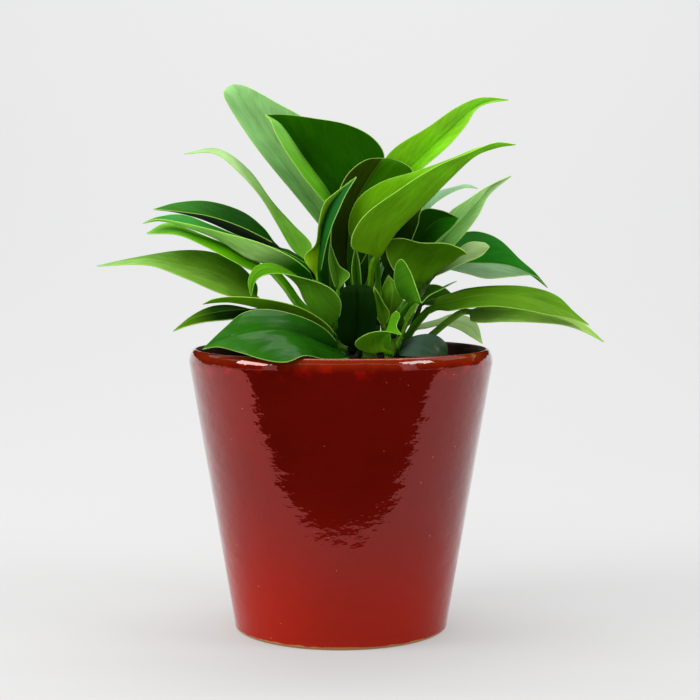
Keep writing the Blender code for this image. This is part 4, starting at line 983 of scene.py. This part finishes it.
# Painted shade: its near-black greens stand for the deep shade this leaf faces.
grow(
    "leaf_front_hood", greens=("102b04 102b04 14330c", "102604"),
    pale_rib=False, pale_margin=False,
    crown="left", heading=345, height=125, radius=1.3,
    stalk=[], base=(6, -11, 127),
    left=[(0, -17, 131), (-1.2, -19, 139), (-0.9, -20, 149), (1.3, -18, 155.2)],
    rib=[(6.5, -14, 132), (7, -15, 140), (7.5, -15, 149), (7.5, -13, 155.8)],
    right=[(13.5, -17, 132), (16, -19, 139.5), (15.5, -20, 149), (13.3, -18, 155.6)],
    tip=(7, -6, 156.5),
)
grow(
    "leaf_front_narrow", greens=("487408 548814 6ca41c", "4c8408 609410 7cb418", "406c10"),
    crown="right", heading=218, height=126, radius=1.1,
    stalk=[], base=(19.5, -14, 137),
    left=[(16.5, -16, 142), (15, -17, 147), (14.8, -17, 152)],
    rib=[(19, -14, 143), (17.5, -14, 149)],
    right=[(22, -16, 143.5), (19.5, -17, 148), (17, -17, 152.5)],
    tip=(15, -16, 155.7),
)
grow(
    "leaf_front_bright", greens=("84cc20 8cd024 98d830", "60ac10 60b014 70bc20", "549810"),
    crown="right", heading=262, height=123, radius=1.2,
    stalk=[], base=(20.5, -16, 126),
    left=[(13, -22, 126), (6.5, -28, 129.5), (11, -32, 134), (19, -33, 135.7)],
    rib=[(19, -21, 131), (20, -25, 134), (24, -28, 135)],
    right=[(22.5, -17, 131), (21.5, -19.5, 139), (24.5, -21.5, 144.5), (26.8, -23, 143),
           (25.2, -27, 138)],
    tip=(27.5, -30, 134),
)
grow(
    "leaf_front_young", greens=("40740c 48780c 68a020", "407010 487810 649820", "385c0c"),
    crown="right", heading=245, height=133, radius=1.2,
    stalk=[], base=(22, -10, 142),
    left=[(19, -7, 147), (19, -6, 155)],
    rib=[(23, -12, 148), (23.5, -12, 155)],
    right=[(27, -12, 147.5), (28.3, -12, 151.5), (25, -11, 157)],
    tip=(21.5, -6, 161),
)
grow(
    "leaf_front_fold", greens=("14501c 2c6418 3c7018", "68b820 70b824 50941c", "34680c 54981c 408014"),
    crown="right", heading=280, height=133, radius=1.3,
    stalk=[(26, -11, 140)], base=(31, -15, 148),
    left=[(39, -10, 151.5), (47, -9, 155.6), (52.5, -11, 158.6), (46, -19, 155), (40, -26, 152)],
    rib=[(33.5, -18, 149), (35.5, -24, 148.5)],
    right=[(26, -17, 153), (24.3, -19, 161), (27, -22, 168.3), (31, -25, 164), (34, -29, 156.5)],
    tip=(36.7, -31, 148.5),
)
# Painted highlight: the bluish grey in the middle of its greens stands for the lamps' gloss on it.
grow(
    "leaf_front_right_low", greens=("283e2c 3e5446 203614", "243c1c"),
    finish=glossy_leaf, pale_rib=False, pale_margin=False,
    crown="right", heading=295, height=123, radius=1.2,
    stalk=[], base=(26, -16, 125),
    left=[(29, -20, 131), (36, -26, 133.8), (43, -30, 133.6), (48, -34, 129.5)],
    rib=[(31, -26, 130), (38, -32, 131), (44, -36, 128.5)],
    right=[(28, -30, 124.5), (34, -38, 124), (42, -42, 123.8)],
    tip=(48.5, -38, 124.5),
)

# The leaves in the middle. They stand upright and close together on the left and the middle crown,
# and shade each other; their greens are painted dark for that shade.
grow(
    "leaf_centre_spear", greens=("acdc1c 98cc1c 60a82c", "185c14 1c6420 286830", "246018"),
    crown="left", heading=203, height=141, radius=1.2,
    stalk=[(-4, -3, 150)], base=(-10, -3, 158),
    left=[(-14, -5, 164), (-16.5, -5, 169.5), (-11.5, -6, 175), (-10, -9, 184), (-7.5, -9, 193.5),
          (-2, -7, 198.7), (3, -6, 202.6)],
    rib=[(-10.5, -2, 164), (-9.5, -1, 173), (-8.5, -1, 183), (-5.5, -3, 192), (0, -5, 199)],
    right=[(-9, -8, 164.5), (-7, -12, 174), (-4, -14, 184), (-1, -12, 191), (2.3, -9, 198)],
    tip=(7, -7, 205.5),
)
grow(
    "leaf_centre_dark", greens=("203400 283c00 304800", "1c4400 245400 2c6000", "102800"),
    crown="middle", heading=205, height=138, radius=1.3,
    stalk=[], base=(3, 6, 158),
    left=[(-4, 5, 172), (-3, 6, 190), (2, 8, 205), (11, 11, 213)],
    rib=[(3, 8, 172), (5, 11, 190), (12, 14, 204), (18, 16, 212.5)],
    right=[(11, 2, 170), (17, 3, 186), (27, 6, 200), (32.5, 10, 207.5), (28, 14, 212)],
    tip=(21, 19, 214),
)
grow(
    "leaf_centre_new", greens=("508c1c 64a028 74b034", "508818 609c28 70ac34", "548c20"),
    crown="left", heading=290, height=139, radius=1.0,
    stalk=[], base=(-1.5, -5, 153),
    left=[(-4, -6, 160), (-5.5, -5, 168)],
    rib=[(-1.5, -3, 160), (-3.5, -3, 168)],
    right=[(1, -8, 157.5), (3.8, -8, 161.3), (-1, -6, 165.5)],
    tip=(-5, -4, 175.3),
)
grow(
    "leaf_centre_sheath", greens=("306c0c 3c7c10 4c901c", "387410 448418 549820", "387410"),
    crown="middle", heading=240, height=136, radius=1.1,
    stalk=[], base=(8, 0, 148),
    left=[(5.8, -3, 156), (5, -3, 164)],
    rib=[(7.3, 0, 157), (6.8, 0, 166)],
    right=[(9, -3, 156), (8.3, -3, 166)],
    tip=(6.5, -1, 174),
)
grow(
    "leaf_centre_shaded", greens=("2c4c04 305408 386008", "183c04"),
    pale_rib=False, pale_margin=False,
    crown="middle", heading=0, height=138, radius=1.2,
    stalk=[], base=(21, 10, 160),
    left=[(18, 9, 172), (20, 10, 185), (27, 11, 195)],
    rib=[(24, 13, 175), (27, 15, 186), (31, 15, 195)],
    right=[(29, 8, 170), (34, 9, 182), (36, 11, 191)],
    tip=(34, 14, 199),
)

# The leaves to the right. They all grow from the right crown. The long ones arch out and down, and the
# short ones stand among their stalks.
grow(
    "leaf_right_blue", greens=("14540c 1c6414 287c1c", "587c50 7ca074 60884c", "489038"),
    crown="right", heading=44, height=131, radius=1.4,
    stalk=[(34, 5, 150)], base=(42.5, 12, 164),
    left=[(46, 22, 172), (54, 32, 179.5), (62, 36, 180.8), (71.5, 34, 177.4), (81.3, 28, 168.2),
          (88, 22, 162.5)],
    rib=[(52, 14, 166), (64, 20, 166.5), (76, 22, 165.5), (86, 20, 161.5)],
    right=[(48, 6, 164), (57, 4, 162), (66, 6, 159.8), (78, 12, 160.6), (88, 17, 160.8)],
    tip=(94, 20, 155.5),
)
grow(
    "leaf_right_fold", greens=("245008 5cac18 90c834", "1c4404 549010 a4d030", "4c7c0c"),
    crown="right", heading=332, height=137, radius=1.3,
    stalk=[(30, -4, 146)], base=(35, -8, 155),
    left=[(36, -5, 166), (40, -3, 172), (48, -6, 175), (54, -13, 173.5)],
    rib=[(39, -10, 158.5), (45, -12, 163.5), (51, -14, 167.5), (54.3, -16, 170)],
    right=[(28, -14, 159), (22, -12, 167), (21, -10, 175.5), (27, -13, 177.8), (36, -17, 175.8),
           (48, -20, 175.5), (54, -19, 173.3)],
    tip=(57.3, -17, 171),
)
grow(
    "leaf_right_pale", greens=("648848 8cac6c a8c484", "5c8040 80a060 9cb878", "688450"),
    crown="right", heading=0, height=133, radius=1.3,
    stalk=[(33, -1, 146)], base=(38, -4, 156),
    left=[(43, -2, 165), (52, -2, 171.5), (58, -3, 175.8), (65, -5, 175.7)],
    rib=[(45, -6, 163), (54, -7, 168.5), (62, -7, 173)],
    right=[(41, -9, 159.8), (47, -11, 162.5), (56, -11, 166.7), (64, -10, 170.2)],
    tip=(67.5, -8, 174),
)
grow(
    "leaf_right_tucked", greens=("284c10 306010 406c18", "243c10"),
    crown="right", heading=12, height=126, radius=1.1,
    stalk=[(33, 0, 139)], base=(36.5, 1.5, 148),
    left=[(38, 4, 155.5), (42, 5.5, 156.8), (47, 6, 155.3), (51, 6, 152)],
    rib=[(41, 3, 150), (47, 4.5, 150.5)],
    right=[(41, 1, 147.5), (48, 3.5, 148)],
    tip=(54, 7.5, 149.5),
)
grow(
    "leaf_right_long", greens=("3c6408 4c7c08 609420", "305c04 548410 6c982c", "548420"),
    crown="right", heading=332, height=124, radius=1.7,
    stalk=[(31.5, -11, 135)], base=(39.5, -13, 145),
    left=[(43, -4, 150), (50, 2, 152.8), (58, 6, 155.1), (72, 8, 156.3), (86, 4, 155.6), (98, -2, 151.8),
          (106, -7, 144.5)],
    rib=[(50, -8, 149), (62, -6, 151.5), (76, -6, 152), (90, -8, 149.5), (102, -10, 144.5)],
    right=[(46.5, -15, 144.6), (58, -18, 146.3), (70, -20, 147), (82, -20, 145.6), (94, -18, 143.2),
           (106, -14, 141)],
    tip=(113, -11, 138.5),
)
# Painted light: its greens are painted pale to lift the shade that the long leaf above casts on it.
grow(
    "leaf_right_under",
    greens=("6c9c24 d8f088 88b84c",
            "6c9c24 d8f494 90bc58",
            "80b43c dcf8a0 e4f8ac 98c45c"),
    crown="right", heading=5, height=123, radius=1.5,
    stalk=[(34, 2, 128), (43, 1, 135.3), (49, 0, 140.3)], base=(55.5, 0, 144.6),
    left=[(64, 6, 147), (78, 8, 149.5), (92, 6, 148), (104, 1, 143.5), (112, -3, 138)],
    rib=[(66, -2, 144.5), (80, -2, 145), (95, -3, 143), (108, -5, 138.5)],
    right=[(60.5, -10, 140), (75, -14, 140), (90, -14, 139.6), (102, -12, 138.3), (111, -9, 135.3)],
    tip=(119.8, -6, 130.8),
)
grow(
    "leaf_right_back_low", greens=("88a46c a0bc80 acc888", "88a464 9cb878 a4c47c", "94b078"),
    crown="right", heading=38, height=124, radius=1.3,
    stalk=[(28, 12, 131.5)], base=(32.5, 18, 136.2),
    left=[(37, 34, 139), (44, 38, 141), (52, 41, 143.4), (61, 38, 140)],
    rib=[(41, 29, 138.6), (50, 32, 140), (59, 33, 136.5)],
    right=[(38, 24, 136.8), (46, 24, 138.4), (53, 25, 136.8), (60, 28, 132.8)],
    tip=(64.5, 31, 130),
)
grow(
    "leaf_right_shaded", greens=("103400 184000 206c0c", "143800 1c5008 247c0c", "103000"),
    crown="right", heading=100, height=138, radius=1.2,
    stalk=[(26, 4, 155)], base=(31, 5, 168),
    left=[(32, 3, 176), (35, 3, 184), (37, 4, 190.5), (45, 6, 190.5)],
    rib=[(35, 7, 176), (41, 8, 184), (48, 8, 187.5)],
    right=[(38, 3, 172), (46, 4, 179), (51, 6, 183.5)],
    tip=(53.5, 7, 187),
)
grow(
    "leaf_right_spear", greens=("98dc2c b8f03c c8f84c", "88c830"),
    crown="right", heading=305, height=128, radius=0.9,
    stalk=[(27.3, -7.5, 133)], base=(29.5, -7.5, 139),
    left=[(32, -8.5, 143), (34.3, -9, 147)],
    rib=[(30.7, -7.5, 143.5), (32.8, -7.5, 147.5)],
    right=[(28.9, -8.5, 143), (31, -9, 147)],
    tip=(34.8, -8, 150.3),
)

# The leaves behind. They fill the plant's far half, which its front hides. Most arch out over the rim,
# and the others stand up behind the crowns. Their greens are painted dark for the shade there, and some
# stand where only that shade shows between the front leaves.
grow(
    "leaf_rear_left", greens=("245c0c 2c6c14 3c8020", "4c7c2c"),
    crown="left", heading=118, height=125, radius=1.5,
    stalk=[(-10, 19, 150)], base=(-14, 28, 160),
    left=[(-20, 32, 163), (-29, 46, 166.5), (-37, 60, 168)],
    rib=[(-17, 38, 163.5), (-25, 54, 168), (-33, 68, 169)],
    right=[(-12, 42, 164), (-17, 58, 169), (-26, 72, 170)],
    tip=(-39, 82, 167),
)
grow(
    "leaf_rear_middle", greens=("1c3c04 204404 284c08", "284c0c"),
    crown="middle", heading=100, height=124, radius=1.5,
    stalk=[(12.5, 30, 144)], base=(12, 50, 158),
    left=[(1, 60, 168), (-3, 70, 174), (0, 82, 174)],
    rib=[(10.5, 60, 166.5), (8, 72, 173), (7, 86, 172.5)],
    right=[(20, 58, 168), (20, 70, 174), (15, 84, 174)],
    tip=(6, 102, 166),
)
grow(
    "leaf_rear_low", greens=("1c4808 245810 306c18", "3c6424"),
    crown="middle", heading=134, height=122, radius=1.5,
    stalk=[(4, 24, 134)], base=(-1, 36, 141),
    left=[(-10, 42, 141), (-16, 54, 142), (-17, 66, 141)],
    rib=[(-4, 46, 144), (-8, 60, 146), (-12, 74, 144)],
    right=[(4, 50, 144), (2, 64, 147), (-4, 76, 146)],
    tip=(-15, 92, 138),
)
grow(
    "leaf_rear_right", greens=("143000 183800 1c4000", "284c0c"),
    crown="right", heading=112, height=128, radius=1.5,
    stalk=[(19.5, 19, 140)], base=(22, 25, 150),
    left=[(14.5, 28, 157), (14, 30, 164)],
    rib=[(22, 30.5, 158), (22, 33, 166)],
    right=[(29.5, 30, 157), (30.5, 33, 164)],
    tip=(23, 36, 172.5),
)
grow(
    "leaf_rear_rim_left", greens=("1c4c0a 205810 2c6c18", "3c6424"),
    crown="left", heading=150, height=123, radius=1.4,
    stalk=[(-11, 11, 130)], base=(-16, 22, 135),
    left=[(-24, 24, 134), (-33, 36, 135), (-40, 50, 134)],
    rib=[(-20, 32, 138), (-28, 46, 139.5), (-36, 60, 138)],
    right=[(-14, 38, 137), (-19, 54, 139), (-28, 66, 139)],
    tip=(-42, 72, 133),
)
grow(
    "leaf_rear_upright_middle", greens=("1c4404 245008 2c5c10", "284c0c"),
    crown="left", heading=62, height=128, radius=1.2,
    stalk=[(2.2, 15.5, 140)], base=(3.5, 27, 152),
    left=[(2, 31, 157), (0, 34, 168), (2, 37, 178)],
    rib=[(6.5, 32.5, 158), (6.5, 35.5, 169), (7, 38, 178)],
    right=[(11, 32, 157), (12.5, 35.5, 167), (12, 38, 177)],
    tip=(8, 41, 187),
)
grow(
    "leaf_rear_upright_left", greens=("143c08 1c5010 286018", "1c4c0a 286014 347020", "34641c"),
    crown="left", heading=95, height=132, radius=1.2,
    stalk=[], base=(-5, 12.5, 146),
    left=[(-11, 15, 156), (-12, 17, 168), (-9, 19, 178)],
    rib=[(-5, 16, 157), (-5.5, 19, 169), (-5, 21, 178)],
    right=[(1, 14.5, 154), (0, 17, 167), (-1, 20, 177)],
    tip=(-4, 22, 185),
)
grow(
    "leaf_rear_rim_right", greens=("286010 327414 44882a", "4c7c2c"),
    crown="right", heading=72, height=123, radius=1.4,
    stalk=[(22, 16, 129)], base=(24, 26, 135),
    left=[(20, 36, 141), (17, 48, 146), (18, 62, 148)],
    rib=[(27, 38, 142), (27, 52, 148), (26, 66, 150)],
    right=[(33, 36, 140), (33, 50, 146), (32, 64, 148)],
    tip=(27, 82, 146),
)

# The studio. A pale board sweeps up into the backdrop, and soft boxes light the plant and the backdrop.
# Dark cards lie on the board before the pot and stand round it. Only reflections show them, and they
# give the glaze its dark wedge, which narrows downwards, and the rim its deep sides.
CAMERA_PLACE = (EYE.x * MM, EYE.y * MM, EYE.z * MM)
CAMERA_PITCH = 4.04
CAMERA_LENS = 84.75
BOARD_GREY = "959595"
BOARD_GLOW = 0.285
SWEEP_FRONT = -4.0
SWEEP_START = 0.55
SWEEP_RADIUS = 3.0
SWEEP_STEPS = 60
BACKDROP_TOP = 6.0
STAGE_HALF_WIDTH = 6.0
CARD_BLACK = "050505"
CARD_LIFT = 0.0004
CARD_HALF_WIDTH = 1.6
CARD_FRONT = -1.6
CARD_BACK = -0.145
FLAG_PLACE = -1.5
FLAG_HEIGHT = 1.3
ROOF_HEIGHT = 1.6
ROOF_EDGE = 0.1
ROOF_HALF_WIDTH = 5.0
BAND_BACK = 2.0
BAND_SIDE = 2.5
BAND_HEIGHTS = (0.16, 1.5)
ROOM_GREY = "ececf0"
ROOM_LIGHT = 0.77


def plain_finish(name, colour, roughness, glow=0.0):
    """Matt board: one even colour with a slight grain, and for the floor a faint glow from below."""
    finish, tree, surface = new_finish(name)
    place = add_node(tree, "ShaderNodeTexCoord", {}).outputs["Object"]
    grain = add_node(tree, "ShaderNodeTexNoise", {"Vector": place, "Scale": 60.0, "Detail": 2.0})
    bump = add_node(tree, "ShaderNodeBump", {"Height": grain, "Strength": 0.05, "Distance": MM})
    shader = add_node(tree, "ShaderNodeBsdfPrincipled", {
        "Base Color": linear(colour), "Roughness": roughness, "Specular IOR Level": 0.1,
        "Emission Color": linear("fffefc"), "Emission Strength": glow, "Normal": bump})
    tree.links.new(shader.outputs[0], surface)
    return finish


def sheet(name, pairs, finish):
    """A flat or bent sheet through pairs of points in metres."""
    points = np.array(pairs).reshape(-1, 3) / MM
    faces = [(2 * k, 2 * k + 1, 2 * k + 3, 2 * k + 2) for k in range(len(pairs) - 1)]
    return mesh_object(name, points, faces, finish)


def from_side_to_side(half_width, line):
    """Pairs of points at both ends of a width, for each (depth, up) point of a line."""
    return [[(side * half_width, y, z) for side in (-1, 1)] for y, z in line]


sweep = [(SWEEP_FRONT, 0.0)]
sweep += [(SWEEP_START + SWEEP_RADIUS * math.sin(a), SWEEP_RADIUS * (1 - math.cos(a)))
          for a in np.linspace(0.0, math.pi / 2, SWEEP_STEPS)]
sweep.append((SWEEP_START + SWEEP_RADIUS, BACKDROP_TOP))
floor = sheet("floor_and_backdrop", from_side_to_side(STAGE_HALF_WIDTH, sweep),
              plain_finish("pale_board", BOARD_GREY, roughness=0.8, glow=BOARD_GLOW))

black_card = plain_finish("black_card", CARD_BLACK, roughness=1.0)
band_line = (
    (-BAND_SIDE, FLAG_PLACE), (-BAND_SIDE, BAND_BACK),
    (BAND_SIDE, BAND_BACK), (BAND_SIDE, FLAG_PLACE),
)
for name, pairs in (
    ("unlit_front", from_side_to_side(CARD_HALF_WIDTH, ((CARD_FRONT, CARD_LIFT), (CARD_BACK, CARD_LIFT)))),
    ("front_flag", from_side_to_side(CARD_HALF_WIDTH, ((FLAG_PLACE, 0.0), (FLAG_PLACE, FLAG_HEIGHT)))),
    ("overhead_flag", from_side_to_side(
        ROOF_HALF_WIDTH, ((FLAG_PLACE, ROOF_HEIGHT), (ROOF_EDGE, ROOF_HEIGHT)))),
    ("room_band", [[(x, y, z) for z in BAND_HEIGHTS] for x, y in band_line]),
):
    dark = sheet(name, pairs, black_card)
    dark.visible_camera = False
    dark.visible_diffuse = False
    dark.visible_transmission = False
    dark.visible_shadow = False

# Each soft box: its place, what it is aimed at, its width and height, its power and its colour.
for label, place, aim, size, power, colour in (
    ("left_box", (-1.05, -0.38, 0.8), (0.0, 0.0, 0.15), (0.66, 0.6), 11.5, (1.0, 0.99, 0.97)),
    ("right_box", (1.0, -0.45, 0.9), (0.0, 0.0, 0.15), (0.52, 0.4), 6.2, (1.0, 0.99, 0.98)),
    ("top_box", (0.0, 0.45, 1.3), (0.0, 0.0, 0.12), (1.2, 0.8), 8.5, (0.98, 0.99, 1.0)),
    ("front_fill", (-0.3, -1.1, 1.5), (0.0, 0.0, 0.1), (1.6, 1.2), 10.0, (1.0, 1.0, 0.99)),
    ("backdrop_box", (0.0, 0.9, 2.6), (0.0, 3.4, 1.2), (3.0, 1.0), 91.0, (0.97, 0.98, 1.0)),
):
    light = bpy.data.lights.new(label, "AREA")
    light.shape = "RECTANGLE"
    light.size, light.size_y = size
    light.energy = power
    light.color = colour
    lamp = bpy.data.objects.new(label, light)
    lamp.location = place
    lamp.visible_glossy = label != "front_fill"
    lamp.rotation_euler = (Vector(aim) - Vector(place)).to_track_quat("-Z", "Y").to_euler()
    bpy.context.scene.collection.objects.link(lamp)

world = bpy.data.worlds.new("pale_room")
world.use_nodes = True
backdrop = world.node_tree.nodes["Background"]
backdrop.inputs["Color"].default_value = linear(ROOM_GREY)
backdrop.inputs["Strength"].default_value = ROOM_LIGHT
bpy.context.scene.world = world
bpy.context.scene.view_settings.view_transform = "Standard"

camera_data = bpy.data.cameras.new("camera")
camera_data.lens = CAMERA_LENS
camera = bpy.data.objects.new("camera", camera_data)
camera.location = CAMERA_PLACE
camera.rotation_euler = (math.radians(90 - CAMERA_PITCH), 0.0, 0.0)
bpy.context.scene.collection.objects.link(camera)
bpy.context.scene.camera = camera
